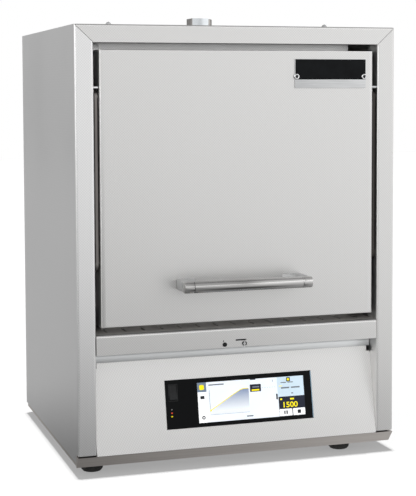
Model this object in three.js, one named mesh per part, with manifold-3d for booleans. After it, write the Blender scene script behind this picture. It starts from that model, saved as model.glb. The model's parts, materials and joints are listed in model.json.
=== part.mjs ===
// Bench furnace for dental ceramics, with a lift door carried on two pairs of parallel arms.
// Millimetres, +Z up. The case's front plane faces -Y, and the feet stand on Z = 0.

import * as THREE from "three";
import { mergeVertices } from "three/addons/utils/BufferGeometryUtils.js";
import Module from "manifold-3d";

const wasm = await Module();
wasm.setup();

// Case: outside width, depth behind the front plane, and height from tray to roof
const caseWidth = 385;
const caseDepth = 330;
const caseHeight = 497;
const footHeight = 10;
const sheet = 1.2;
const seam = 0.3;
const overrun = 2;
const weldDistance = 1e-4;

// Flat sides that stand in for a round one, by size
const largeRound = 26;
const mediumRound = 20;
const smallRound = 16;
const tinyRound = 12;

// Front frame: two posts folded from the side sheets and a lintel folded from the roof sheet
const postWidth = 21.5;
const lintelHeight = 20;
const returnDepth = 26;
const rearFlange = 16;
const bendRadius = 2.5;

// Base tray with a front strip that leans back
const stripHeight = 13.6;
const stripSetback = 11.5;
const stripSlot = 2;
const trayShow = 5.3;
const trayFlange = 14;

// Feet
const footRadius = 13;
const footRound = 6;
const footPadShare = 0.6;
const footStudRadius = 3;
const footStudLength = 6;
const footInsetLeft = 22.4;
const footInsetRight = 56.6;
const footInsetFront = 32;

// Crossbar between the posts
const crossbarLift = 128;
const crossbarHeight = 22.4;
const crossbarTopLip = 8;
const crossbarTab = 18;
const lockRadius = 2.8;
const lockInset = 4;
const lockRise = 3.8;
const lockProud = 0.8;
const lockSlotWidth = 0.9;
const lockSlotDepth = 0.6;
const plugRadius = 2.6;
const plugInset = -19.9;
const plugProud = 0.5;
const boltDepth = 9;
const lockCamReach = 11;
const latchSlotWidth = 12.2;
const latchSlotHeight = 1.5;
const latchSlotRise = 7.5;

// Slotted sheet that takes in air below the door
const ventCount = 15;
const ventPitch = 22;
const ventSlotWidth = 2.6;
const ventSlotLength = 24;
const ventDepth = 44;

// Control panel, tilted back from the strip up to a fold below the crossbar
const panelSetback = 20.4;
const panelFoldDrop = 12.2;
const panelRise = 7;
const panelFlange = 10;
const panelEdgeRound = 1;
const panelReliefWidth = 4.2;
const panelReliefBelow = 6.3;
const panelReliefAbove = 4;

// Controller on the panel
const fasciaWidth = 180;
const fasciaHeight = 55.4;
const fasciaThickness = 2;
const fasciaProud = 0.5;
const fasciaLeft = -87.8;
const fasciaRise = 23.4;
const screenLeft = 38.3;
const screenRight = 9.7;
const screenRise = 4.2;
const screenDrop = 4.8;
const controllerBoxDepth = 24;
const controllerBoxInset = 5;
const rockerWidth = 9.6;
const rockerHeight = 18;
const rockerLeft = 4.2;
const rockerRise = 32.2;
const rockerDepth = 7;
const rockerTilt = 7;
const rockerDish = 1;
const rockerProud = 1.3;
const rockerWaistShare = 0.6;
const lampRadius = 0.9;
const lampPitch = 3.9;
const lampLeft = 6.5;
const lampRise = 14.3;
const lampCount = 3;
const lampLength = 5;

// Door shell and what fills it
const doorGapSide = 6;
const doorGapTop = 8;
const doorGapBottom = 8.6;
const doorDepth = 45;
const doorFill = 8;
const doorEdgeRound = 1;
const plugDepth = 17;
const plugClearance = 4;
const plugTaper = 3;
const sealWidth = 6;
const sealMargin = 12;

// Handle on the door
const handleRadius = 6.5;
const handleReach = 32;
const handleLength = 154;
const handleLeft = -78.6;
const handleRise = 45.7;
const handleEnd = 11.8;
const handleFlare = 13;
const handleGroove = 0.6;
const handleScrewRadius = 2.5;
const handleNutRadius = 5;
const handleScrewDepth = 6;

// Plate on the door's upper right corner
const plateWidth = 89;
const plateHeight = 33.6;
const plateThickness = 0.8;
const plateInsetRight = 9.7;
const plateInsetTop = 9.4;
const rivetRadius = 3.3;
const rivetBore = 1.6;
const rivetProud = 0.9;
const rivetInset = 2.7;
const rivetDrop = 20.4;

// Parallel arms: pin centres on the door, and how far the lower pair lies back and down
const armLength = 187;
const armWidth = 16;
const armThickness = 3;
const armGap = 1.5;
const pinSetback = 12;
const pinRise = 70.5;
const pinOffsetBack = 24;
const pinOffsetDown = 50.5;
const pinRadius = 3;
const pinHeadRadius = 5;
const pinHead = 0.9;
const pinNutRadius = 5.5;
const pinNut = 3.5;
const bracketThickness = 3;
const bracketMargin = 14;

// Heated chamber and the insulation round it
const chamberWidth = 132;
const chamberHeight = 122;
const mouthMargin = 6;
const mouthDepth = 16;
const blockWidth = 300;
const blockHeight = 278;
const blockFront = 3;
const blockRearGap = 42;
const rearBoard = 94;
const frontPlateRim = 4;
const skidHeight = 16;
const skidWidth = 24;
const floorPlate = 4;

// Hairpin heating elements, hung through the top insulation beside both chamber walls
const elementRadius = 2.5;
const elementLegShare = 0.2;
const elementPairShare = 0.446;
const elementWallGap = 5;
const elementFloorGap = 10;
const elementRise = 24;
const elementHole = 3.2;
const holderHeight = 10;
const clampWidth = 12;
const clampHeight = 9;

// Exhaust and roof fittings
const flueRadius = 11;
const flueBore = 7.5;
const flueDepthShare = 0.7;
const stubRadius = 15.2;
const stubWall = 1;
const stubRise = 16;
const stubFlange = 22;
const capRadius = 4.4;
const capRise = 6.5;
const capInset = 57;
const capSetback = 78;

// Thermocouple through the rear insulation
const probeRadius = 3;
const probeReach = 12;
const probeDrop = 30;
const probeHeadRadius = 11;
const probeHeadDepth = 20;

// Electrical bay and the rear wall
const fanSize = 80;
const fanDepth = 25;
const fanBore = 36;
const fanHub = 15;
const fanBlades = 7;
const fanBladeThickness = 1.6;
const fanBladePitch = 32;
const fanTipGap = 1.5;
const fanMotorDepth = 8;
const fanChordShare = 0.9;
const fanInset = 132.5;
const fanRise = 90;
const grilleRings = 3;
const grilleWeb = 2;
const inletWidth = 48;
const inletHeight = 28;
const inletDepth = 22;
const inletProud = 2;
const inletBezel = 3;
const inletInset = 82.5;
const inletRise = 36;
const inletPinWidth = 4;
const inletPinHeight = 6;
const inletPinPitch = 14;
const transformerWidth = 96;
const transformerDepth = 84;
const transformerHeight = 76;
const transformerInset = 117.5;
const transformerSetback = 150;
const coilOverhang = 14;
const moduleWidth = 90;
const moduleDepth = 110;
const moduleHeight = 30;
const moduleInset = 102.5;
const moduleSetback = 150;
const finCount = 9;
const finHeight = 22;
const finThickness = 2;
const rearSlotWidth = 40;
const rearSlotHeight = 4;
const rearSlotPitch = 10;
const rearSlotColumns = 4;
const rearSlotColumnPitch = 60;
const rearSlotRows = 5;
const rearPanelMargin = 3;
const screwRadius = 3.4;
const screwHead = 1.8;
const screwShank = 1.7;
const screwShankLength = 5;

// Places that follow from the sizes above
const halfWidth = caseWidth / 2;
const baseZ = footHeight;
const roofZ = baseZ + caseHeight;
const postInner = halfWidth - postWidth;
const stripTop = baseZ + stripHeight;
const lintelZ = roofZ - lintelHeight;
const crossbarZ = baseZ + crossbarLift;
const crossbarTop = crossbarZ + crossbarHeight;
const doorZ = crossbarTop + doorGapBottom;
const doorTop = lintelZ - doorGapTop;
const doorHalf = postInner - doorGapSide;
const armInner = doorHalf + armGap;
const armOuter = armInner + armThickness;
const upperDoorPin = { y: pinSetback, z: doorZ + pinRise };
const lowerDoorPin = { y: pinSetback + pinOffsetBack, z: upperDoorPin.z - pinOffsetDown };
const upperHousePin = { y: upperDoorPin.y, z: upperDoorPin.z + armLength };
const lowerHousePin = { y: lowerDoorPin.y, z: lowerDoorPin.z + armLength };
const blockY = doorDepth + blockFront;
const deckZ = crossbarTop;
const blockDepth = caseDepth - blockY - blockRearGap;
const blockZ = deckZ + seam + skidHeight + seam;
const blockTop = blockZ + blockHeight;
const chamberY = blockY + mouthDepth;
const chamberDepth = blockDepth - mouthDepth - rearBoard;
const chamberZ = blockZ + (blockHeight - chamberHeight) / 2;
const chamberTop = chamberZ + chamberHeight;
const chamberBack = chamberY + chamberDepth;
const flueY = chamberY + chamberDepth * flueDepthShare;
const rearFace = caseDepth + seam + sheet;
const panelZ = stripTop + seam;
const panelFoldZ = crossbarZ - panelFoldDrop;
const panelTilt = Math.atan2(panelSetback, panelFoldZ - panelZ);
const bracketX = postInner + sheet + seam;
const mouthHalf = chamberWidth / 2 - mouthMargin;
const mouthZ = [chamberZ + mouthMargin, chamberTop - mouthMargin];
const probeZ = chamberTop - probeDrop;
const elementX = chamberWidth / 2 - elementWallGap - elementRadius;
const elementLegPitch = chamberDepth * elementLegShare;
const elementPairPitch = chamberDepth * elementPairShare;
const elementPairs = [-1, 1].map((end) => chamberY + (chamberDepth + end * elementPairPitch) / 2);
const elementLegs = [-1, 1].flatMap((side) => elementPairs.flatMap((middle) => [-1, 1].map((leg) => [
  side * elementX, middle + leg * elementLegPitch / 2])));
const handleZ = doorZ + handleRise;
const handleScrewPlaces = [handleLeft + handleEnd / 2, handleLeft + handleLength - handleEnd / 2];
const rivetPlaces = [plateWidth - rivetInset, rivetInset].map((inset) => doorHalf - plateInsetRight - inset);
const rivetZ = doorTop - plateInsetTop - rivetDrop;
const inletX = inletInset - halfWidth;
const inletZ = baseZ + inletRise;
const fanX = halfWidth - fanInset;
const fanZ = baseZ + fanRise;
const footPlaces = [["front", footInsetFront], ["rear", caseDepth - footInsetFront]].flatMap(([end, y]) => [
  [`${end}_left`, footInsetLeft - halfWidth, y],
  [`${end}_right`, halfWidth - footInsetRight, y],
]);
const rearScrewPlaces = [-1, 1].flatMap((side) => [1, 2, 3, 4].map((row) => [
  side * (halfWidth - rearFlange / 2), baseZ + caseHeight * (row - 1 / 2) / 4]));
const frontMost = -(handleReach + handleRadius);
const rearMost = rearFace + seam + inletProud;
const sides = [["left", -1], ["right", 1]];

// Colours and finishes
const finishes = {
  texturedSteel: { color: 0xcfd0d1, roughness: 0.45, metalness: 0.7 },
  brushedSteel: { color: 0x8f8c89, roughness: 0.4, metalness: 0.85 },
  polishedSteel: { color: 0xc8c8c8, roughness: 0.2, metalness: 1 },
  darkSteel: { color: 0x4a4947, roughness: 0.5, metalness: 0.7 },
  blackGlass: { color: 0x101214, roughness: 0.08, metalness: 0 },
  screen: { color: 0xdfe9f3, roughness: 0.2, metalness: 0 },
  blackPlastic: { color: 0x1b1c1e, roughness: 0.5, metalness: 0 },
  rubber: { color: 0x121212, roughness: 0.8, metalness: 0 },
  fibreBoard: { color: 0xf0ece2, roughness: 0.95, metalness: 0 },
  ceramic: { color: 0xe6dfd0, roughness: 0.7, metalness: 0 },
  heatingElement: { color: 0x55504b, roughness: 0.5, metalness: 0.4 },
  aluminium: { color: 0xb9bcc0, roughness: 0.4, metalness: 0.9 },
  blackPlate: { color: 0x0d0e10, roughness: 0.35, metalness: 0.1 },
};

const model = new THREE.Group();
model.position.y = -(rearMost + frontMost) / 2;

// Geometry helpers

function toSolid(geometry) {
  if (!(geometry instanceof THREE.BufferGeometry)) return geometry;
  const bare = geometry.clone();
  bare.deleteAttribute("normal");
  bare.deleteAttribute("uv");
  const merged = mergeVertices(bare, weldDistance);
  return new wasm.Manifold(new wasm.Mesh({
    numProp: 3,
    vertProperties: Float32Array.from(merged.attributes.position.array),
    triVerts: Uint32Array.from(merged.index.array),
  }));
}

function join(first, ...others) {
  return others.reduce((whole, piece) => whole.add(toSolid(piece)), toSolid(first));
}

function cut(first, ...tools) {
  return tools.reduce((whole, tool) => whole.subtract(toSolid(tool)), toSolid(first));
}

function toGeometry(solid) {
  if (solid instanceof THREE.BufferGeometry) return solid;
  const mesh = solid.getMesh();
  const geometry = new THREE.BufferGeometry();
  geometry.setAttribute("position", new THREE.BufferAttribute(mesh.vertProperties, mesh.numProp));
  geometry.setIndex(new THREE.BufferAttribute(mesh.triVerts, 1));
  geometry.computeVertexNormals();
  return geometry;
}

function addPiece(group, name, solid, finish) {
  const material = new THREE.MeshStandardMaterial({ ...finishes[finish], flatShading: true });
  const mesh = new THREE.Mesh(toGeometry(solid), material);
  mesh.name = name;
  group.add(mesh);
  return mesh;
}

function addGroup(parent) {
  const group = new THREE.Group();
  parent.add(group);
  return group;
}

function block([x0, x1], [y0, y1], [z0, z1]) {
  const geometry = new THREE.BoxGeometry(x1 - x0, y1 - y0, z1 - z0);
  return geometry.translate((x0 + x1) / 2, (y0 + y1) / 2, (z0 + z1) / 2);
}

// The two ends of a stretch, the lower one first
function span(a, b) {
  return [Math.min(a, b), Math.max(a, b)];
}

function asShape(outline) {
  if (outline instanceof THREE.Shape) return outline;
  return new THREE.Shape(outline.map(([u, v]) => new THREE.Vector2(u, v)));
}

function extrude(outline, length, curveSegments = smallRound / 2) {
  return new THREE.ExtrudeGeometry(asShape(outline), { depth: length, bevelEnabled: false, curveSegments });
}

// An outline of [y, z] points run along X
function alongX(outline, x0, x1, curveSegments) {
  const turn = new THREE.Matrix4().makeBasis(
    new THREE.Vector3(0, 1, 0), new THREE.Vector3(0, 0, 1), new THREE.Vector3(1, 0, 0));
  return extrude(outline, x1 - x0, curveSegments).applyMatrix4(turn).translate(x0, 0, 0);
}

// An outline of [x, z] points run along Y
function alongY(outline, y0, y1, curveSegments) {
  const turn = new THREE.Matrix4().makeBasis(
    new THREE.Vector3(1, 0, 0), new THREE.Vector3(0, 0, 1), new THREE.Vector3(0, -1, 0));
  return extrude(outline, y1 - y0, curveSegments).applyMatrix4(turn).translate(0, y1, 0);
}

// An outline of [x, y] points run along Z
function alongZ(outline, z0, z1, curveSegments) {
  return extrude(outline, z1 - z0, curveSegments).translate(0, 0, z0);
}

// A round rod between two points
function rod(radius, from, to, facets = mediumRound) {
  const start = new THREE.Vector3(...from);
  const span = new THREE.Vector3(...to).sub(start);
  const geometry = new THREE.CylinderGeometry(radius, radius, span.length(), facets);
  const upright = new THREE.Vector3(0, 1, 0);
  const turn = new THREE.Quaternion().setFromUnitVectors(upright, span.clone().normalize());
  geometry.applyQuaternion(turn);
  return geometry.translate(...start.addScaledVector(span, 1 / 2));
}

// A turned piece: [radius, height] points from bottom to top, revolved about Z
function turned(points, facets = mediumRound) {
  const profile = points.map(([radius, height]) => new THREE.Vector2(radius, height));
  return new THREE.LatheGeometry(profile, facets).rotateX(Math.PI / 2);
}

// The section of a bent sheet: one face is given, the other lies one thickness to its left
function bentSheet(points, thickness = sheet) {
  const face = points.map(([u, v]) => new THREE.Vector2(u, v));
  const lefts = face.slice(1).map((point, i) => {
    const along = point.clone().sub(face[i]).normalize();
    return new THREE.Vector2(-along.y, along.x);
  });
  const inner = face.map((point, i) => {
    const before = lefts[Math.max(i - 1, 0)];
    const after = lefts[Math.min(i, lefts.length - 1)];
    const miter = before.clone().add(after).divideScalar(1 + before.dot(after));
    return point.clone().addScaledVector(miter, thickness);
  });
  return [...face, ...inner.reverse()].map((point) => [point.x, point.y]);
}

// A slot outline with round ends, between two centres on a vertical line
function slotShape(u, low, high, radius) {
  const shape = new THREE.Shape();
  shape.absarc(u, low, radius, Math.PI, 2 * Math.PI, false);
  shape.absarc(u, high, radius, 0, Math.PI, false);
  shape.closePath();
  return shape;
}

// Corner of a bend, as points of an arc about a centre
function bend(u, v, radius, from, steps = 3) {
  return Array.from({ length: steps + 1 }, (_, i) => {
    const angle = from + (Math.PI / 2) * (i / steps);
    return [u + radius * Math.cos(angle), v + radius * Math.sin(angle)];
  });
}

// Case sheets

function addCaseSheets() {
  const group = addGroup(model);
  const skirtZ = baseZ + trayShow;
  const mitre = (side) => [
    [side * (postInner - overrun), lintelZ - 2 * seam],
    [side * postInner, lintelZ - 2 * seam],
    [side * halfWidth, roofZ - 2 * seam],
    [side * (halfWidth + overrun), roofZ - 2 * seam],
    [side * (halfWidth + overrun), roofZ + overrun],
    [side * (postInner - overrun), roofZ + overrun],
  ];

  for (const [name, side] of sides) {
    const path = [
      [postInner, returnDepth],
      ...bend(postInner + bendRadius, bendRadius, bendRadius, Math.PI),
      ...bend(halfWidth - bendRadius, bendRadius, bendRadius, Math.PI * 1.5),
      [halfWidth, caseDepth],
      [halfWidth - rearFlange, caseDepth],
    ];
    const outline = bentSheet(path).map(([x, y]) => [side * x, y]);
    const postCut = span(side * (postInner - overrun), side * (halfWidth + overrun));
    const returnCut = span(side * (postInner - overrun), side * (halfWidth - sheet - seam));
    const shell = cut(
      alongZ(outline, skirtZ, roofZ),
      block(postCut, [-overrun, stripSetback + seam], [skirtZ - overrun, stripTop + stripSlot]),
      block(returnCut, [-overrun, returnDepth + overrun], [skirtZ - overrun, stripTop + stripSlot]),
      alongY(mitre(side), -overrun, bendRadius),
      block(returnCut, [bendRadius - seam, returnDepth + overrun], [lintelZ - seam, roofZ + overrun]),
      rod(pinRadius + seam, [side * (postInner - overrun), upperHousePin.y, upperHousePin.z],
        [side * (bracketX + overrun), upperHousePin.y, upperHousePin.z], smallRound),
      ...rearScrewPlaces.map(([x, z]) => rod(
        screwShank + seam, [x, caseDepth - sheet - overrun, z], [x, caseDepth + overrun, z], tinyRound)),
    );
    addPiece(group, `${name}_side_shell`, shell, "texturedSteel");
  }

  // The roof sheet turns down into the lintel in front and into a flange behind
  const roofHalf = halfWidth - sheet - seam;
  const roofPath = [
    [caseDepth - sheet - seam, roofZ - rearFlange],
    [caseDepth - sheet - seam, roofZ],
    ...bend(bendRadius, roofZ - bendRadius, bendRadius, Math.PI / 2),
    [0, lintelZ],
    [returnDepth, lintelZ],
  ];
  const lintelEnds = sides.map(([, side]) => alongY([
    [side * halfWidth, roofZ],
    [side * (halfWidth + overrun), roofZ],
    [side * (halfWidth + overrun), lintelZ - overrun],
    [side * postInner, lintelZ - overrun],
    [side * postInner, lintelZ],
  ], -overrun, bendRadius));
  const returnEnds = sides.map(([, side]) => block(
    span(side * (postInner - seam), side * (halfWidth + overrun)),
    [bendRadius - seam, returnDepth + overrun],
    [lintelZ - overrun, lintelZ + sheet + seam],
  ));
  const fluePort = rod(stubRadius + seam, [0, flueY, roofZ - overrun - sheet], [0, flueY, roofZ + overrun]);
  const capPorts = sides.map(([, side]) => rod(
    screwShank + seam,
    [side * (halfWidth - capInset), capSetback, roofZ - overrun - sheet],
    [side * (halfWidth - capInset), capSetback, roofZ + overrun],
    tinyRound,
  ));
  const roof = cut(alongX(bentSheet(roofPath), -roofHalf, roofHalf),
    ...lintelEnds, ...returnEnds, fluePort, ...capPorts);
  addPiece(group, "roof_panel", roof, "texturedSteel");
}

// The tray carries the case: a floor with upturned walls and a leaning strip in front
function addBaseTray() {
  const group = addGroup(model);
  const rear = caseDepth - sheet - seam;
  const wallX = halfWidth - sheet - seam;
  const floor = bentSheet([
    [trayFlange, stripTop],
    [0, stripTop],
    [stripSetback, baseZ],
    [rear, baseZ],
    [rear, baseZ + rearFlange],
  ]);
  const strip = bentSheet([
    [stripSetback, stripTop],
    [0, stripTop],
    [stripSetback, baseZ],
  ]);
  const end = [[0, stripTop], [stripSetback, baseZ], [stripSetback, stripTop]];
  const walls = sides.map(([, side]) => block(
    span(side * wallX, side * (wallX - sheet)), [stripSetback, rear], [baseZ, stripTop + stripSlot + sheet]));
  const strips = sides.map(([, side]) => alongX(strip, ...span(side * (wallX - sheet), side * halfWidth)));
  const ends = sides.map(([, side]) => alongX(end, ...span(side * (halfWidth - sheet), side * halfWidth)));
  const footPorts = footPlaces.map(([, x, y]) => rod(
    footStudRadius + seam, [x, y, baseZ - overrun], [x, y, baseZ + sheet + overrun], smallRound));
  const tray = cut(join(alongX(floor, -wallX, wallX), ...walls, ...strips, ...ends), ...footPorts);
  addPiece(group, "base_tray", tray, "brushedSteel");
}

function addFeet() {
  const group = addGroup(model);
  const pad = footRadius * footPadShare;
  const steps = tinyRound / 4;
  const bowl = Array.from({ length: steps }, (_, i) => (Math.PI / 2) * ((i + 1) / steps))
    .map((angle) => [pad + (footRadius - pad) * Math.sin(angle), footRound * (1 - Math.cos(angle))]);
  const profile = [
    [0, 0],
    [pad, 0],
    ...bowl,
    [footRadius, footHeight - seam],
    [footStudRadius, footHeight - seam],
    [footStudRadius, footHeight + footStudLength],
    [0, footHeight + footStudLength],
  ];
  for (const [name, x, y] of footPlaces) {
    addPiece(group, `${name}_foot`, turned(profile), "rubber").position.set(x, y, 0);
  }
}

function addRearPanel() {
  const group = addGroup(model);
  const edge = halfWidth - rearPanelMargin;
  const front = caseDepth + seam;
  const through = [front - overrun, rearFace + overrun];
  const slots = [];
  for (let column = 0; column < rearSlotColumns; column += 1) {
    for (let row = 0; row < rearSlotRows; row += 1) {
      const x = (column - (rearSlotColumns - 1) / 2) * rearSlotColumnPitch;
      const z = blockTop - row * rearSlotPitch;
      slots.push(block([x - rearSlotWidth / 2, x + rearSlotWidth / 2], through, [z, z + rearSlotHeight]));
    }
  }
  const blank = cut(
    block([-edge, edge], [front, rearFace], [baseZ + trayShow + rearPanelMargin, roofZ - rearPanelMargin]),
    fanGrille(through),
    block([inletX - inletWidth / 2 - seam, inletX + inletWidth / 2 + seam], through,
      [inletZ - inletHeight / 2 - seam, inletZ + inletHeight / 2 + seam]),
    ...slots,
  );
  const screws = rearScrewPlaces.flatMap(([x, z]) => [
    rod(screwRadius, [x, front + sheet / 2, z], [x, rearFace + screwHead, z], tinyRound),
    rod(screwShank, [x, rearFace - screwShankLength, z], [x, rearFace, z], tinyRound / 2),
  ]);
  addPiece(group, "rear_panel", join(blank, ...screws), "texturedSteel");
}

// Ring-shaped openings in front of the fan, crossed by two bars that stay in the sheet
function fanGrille(through) {
  const disc = (radius) => rod(radius, [0, through[0], 0], [0, through[1], 0]);
  const step = fanBore / grilleRings;
  const rings = Array.from({ length: grilleRings }, (_, i) => cut(
    disc((i + 1) * step - grilleWeb / 2), disc(i * step + grilleWeb / 2)));
  const bars = [1, -1].map((turn) => block([-fanBore, fanBore], through, [-grilleWeb / 2, grilleWeb / 2])
    .rotateY(turn * Math.PI / 4));
  return cut(join(...rings), ...bars).translate([fanX, 0, fanZ]);
}

function addFeaturesOfCrossbar() {
  const group = addGroup(model);
  const reach = postInner - seam;
  const face = bentSheet([
    [crossbarTopLip, crossbarTop],
    ...bend(bendRadius, crossbarTop - bendRadius, bendRadius, Math.PI / 2),
    [0, crossbarZ],
  ]);
  const tabs = sides.map(([, side]) => block(
    span(side * reach, side * (reach - sheet)),
    [sheet / 2, crossbarTab],
    [crossbarZ, crossbarTop - bendRadius]));
  const lockZ = crossbarZ + lockRise;
  const bar = cut(
    join(alongX(face, -reach, reach), ...tabs),
    rod(lockRadius + seam, [lockInset, -overrun, lockZ], [lockInset, sheet + overrun, lockZ]),
    rod(
      plugRadius - plugProud, [plugInset, -overrun, lockZ], [plugInset, sheet + overrun, lockZ], smallRound),
    block([lockInset + lockRadius - latchSlotWidth, lockInset + lockRadius],
      [-overrun, sheet + overrun],
      [crossbarZ + latchSlotRise, crossbarZ + latchSlotRise + latchSlotHeight]),
  );
  addPiece(group, "crossbar", bar, "texturedSteel");

  // The lock turns a quarter turn, and its cam hooks behind the bar
  const head = rod(lockRadius, [0, -lockProud, 0], [0, boltDepth, 0]);
  const slot = block(
    [-lockSlotWidth / 2, lockSlotWidth / 2],
    [-lockProud - overrun, lockSlotDepth - lockProud],
    [-lockRadius - overrun, lockRadius + overrun]);
  const cam = block(
    [-lockCamReach, 0],
    [boltDepth - 2 * sheet, boltDepth - sheet],
    [-lockRadius / 2, lockRadius / 2]);
  const lock = addPiece(group, "door_lock_screw", join(cut(head, slot), cam), "polishedSteel");
  lock.position.set(lockInset, 0, lockZ);

  const plug = turned([
    [0, -sheet - plugProud],
    [plugRadius - plugProud - seam, -sheet - plugProud],
    [plugRadius - plugProud - seam, seam],
    [plugRadius, seam],
    [plugRadius, seam + plugProud],
    [0, seam + plugProud],
  ], smallRound).rotateX(Math.PI / 2);
  addPiece(group, "crossbar_plug", plug, "blackPlastic").position.set(plugInset, 0, lockZ);

  // Intake sheet with slots that run from front to back
  const front = crossbarTopLip + seam;
  const slots = Array.from({ length: ventCount }, (_, i) => {
    const x = (i - (ventCount - 1) / 2) * ventPitch;
    return block([x - ventSlotWidth / 2, x + ventSlotWidth / 2],
      [front + (ventDepth - ventSlotLength) / 2, front + (ventDepth + ventSlotLength) / 2],
      [deckZ - sheet - overrun, deckZ + overrun]);
  });
  const vent = bentSheet([
    [front + ventDepth, deckZ - crossbarTopLip],
    [front + ventDepth, deckZ],
    [front, deckZ],
  ]);
  addPiece(group, "intake_vent", cut(alongX(vent, -reach, reach), ...slots), "darkSteel");
}

// Deck between the electrical bay and the heated block, with a flange down each side
function addDeck() {
  const group = addGroup(model);
  const edge = halfWidth - sheet - seam;
  const front = crossbarTopLip + seam + ventDepth + seam;
  const rear = caseDepth - seam - sheet;
  const section = bentSheet([
    [edge, deckZ - rearFlange],
    [edge, deckZ],
    [-edge, deckZ],
    [-edge, deckZ - rearFlange],
  ]);
  const skids = sides.map(([, side]) => block(
    span(side * (blockWidth / 2 - skidWidth), side * blockWidth / 2),
    [front, blockY + blockDepth],
    [deckZ - sheet / 2, deckZ + seam + skidHeight]));
  addPiece(group, "deck_plate", join(alongY(section, front, rear), ...skids), "brushedSteel");
}

function addControlPanel() {
  const group = addGroup(model);
  const reach = postInner - seam;
  const sheetLine = bentSheet([
    [panelSetback, crossbarZ + panelRise],
    [panelSetback, panelFoldZ],
    [0, panelZ],
    [panelFlange, panelZ],
  ]);
  const onFace = (geometry) => geometry.rotateX(-panelTilt).translate(0, 0, panelZ);
  const window = onFace(block(
    [fasciaLeft - seam, fasciaLeft + fasciaWidth + seam],
    [-overrun, sheet + overrun],
    [fasciaRise - seam, fasciaRise + fasciaHeight + seam]));

  // Flanges stiffen the sides, with reliefs where they end at the fold
  const length = (panelFoldZ - panelZ) / Math.cos(panelTilt);
  const flanges = sides.map(([, side]) => onFace(block(
    span(side * reach, side * (reach - sheet)), [sheet / 2, panelFlange], [panelFlange / 2, length])));
  const edges = sides.map(([, side]) => onFace(alongZ([
    [reach + overrun, -overrun],
    [reach + overrun, panelEdgeRound],
    ...bend(reach - panelEdgeRound, panelEdgeRound, panelEdgeRound, Math.PI * 1.5).reverse(),
    [reach - panelEdgeRound, -overrun],
  ].map(([x, y]) => [side * x, y]), -overrun, length - panelReliefBelow)));
  const reliefs = sides.map(([, side]) => block(
    span(side * (reach - panelReliefWidth), side * (reach + overrun)),
    [0, panelSetback + panelFlange + overrun],
    [panelFoldZ - panelReliefBelow, panelFoldZ + panelReliefAbove]));
  addPiece(group, "control_panel", cut(
    join(alongX(sheetLine, -reach, reach), ...flanges), window, ...edges, ...reliefs), "texturedSteel");

  // Everything on the controller is placed up the tilted face, from the panel's lower edge
  const tilted = addGroup(group);
  tilted.position.z = panelZ;
  tilted.rotation.x = -panelTilt;

  const left = fasciaLeft;
  const low = fasciaRise;
  const backY = fasciaThickness - fasciaProud;
  const screen = [left + screenLeft, left + fasciaWidth - screenRight];
  const screenZ = [low + screenRise, low + fasciaHeight - screenDrop];
  const rocker = [left + rockerLeft, left + rockerLeft + rockerWidth];
  const rockerZ = [low + rockerRise, low + rockerRise + rockerHeight];
  const lamps = Array.from({ length: lampCount }, (_, i) => low + lampRise + i * lampPitch);
  const through = [-fasciaProud - overrun, backY + overrun];
  const fascia = cut(
    block([left, left + fasciaWidth], [-fasciaProud, backY], [low, low + fasciaHeight]),
    block(screen, through, screenZ),
    block(rocker, through, rockerZ),
    ...lamps.map((z) => rod(
      lampRadius + seam, [left + lampLeft, through[0], z], [left + lampLeft, through[1], z], tinyRound)),
  );
  addPiece(tilted, "controller_fascia", fascia, "blackGlass");
  addPiece(tilted, "controller_screen", block(
    [screen[0] + seam, screen[1] - seam],
    [seam - fasciaProud, backY],
    [screenZ[0] + seam, screenZ[1] - seam],
  ), "screen");

  const boxFront = backY + seam;
  const pocket = block([rocker[0] - seam, rocker[1] + seam], [boxFront - overrun, boxFront + rockerDepth],
    [rockerZ[0] - seam, rockerZ[1] + seam]);
  const housing = cut(
    block([left + controllerBoxInset / 2, left + fasciaWidth - controllerBoxInset / 2],
      [boxFront, boxFront + controllerBoxDepth],
      [low + controllerBoxInset, low + fasciaHeight - controllerBoxInset]),
    pocket);
  const lights = lamps.map((z) => rod(
    lampRadius, [left + lampLeft, -fasciaProud, z], [left + lampLeft, boxFront + lampLength, z], tinyRound));
  addPiece(tilted, "controller_housing", join(housing, ...lights), "blackPlastic");

  // The rocker's dished face tips about a pin across its middle
  const half = rockerHeight / 2 - 2 * seam;
  const waist = half * rockerWaistShare;
  const frontY = -backY - rockerProud;
  const outline = [
    [frontY, -half],
    [rockerDepth / 2, -waist],
    [rockerDepth / 2, waist],
    [frontY, half],
    [frontY + rockerDish, 0],
  ];
  const rockerSolid = alongX(outline, rocker[0] + seam, rocker[1] - seam);
  const tip = addPiece(tilted, "mains_rocker", rockerSolid, "blackPlastic");
  tip.position.set(0, backY, (rockerZ[0] + rockerZ[1]) / 2);
  tip.rotation.x = -THREE.MathUtils.degToRad(rockerTilt);
}

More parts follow.
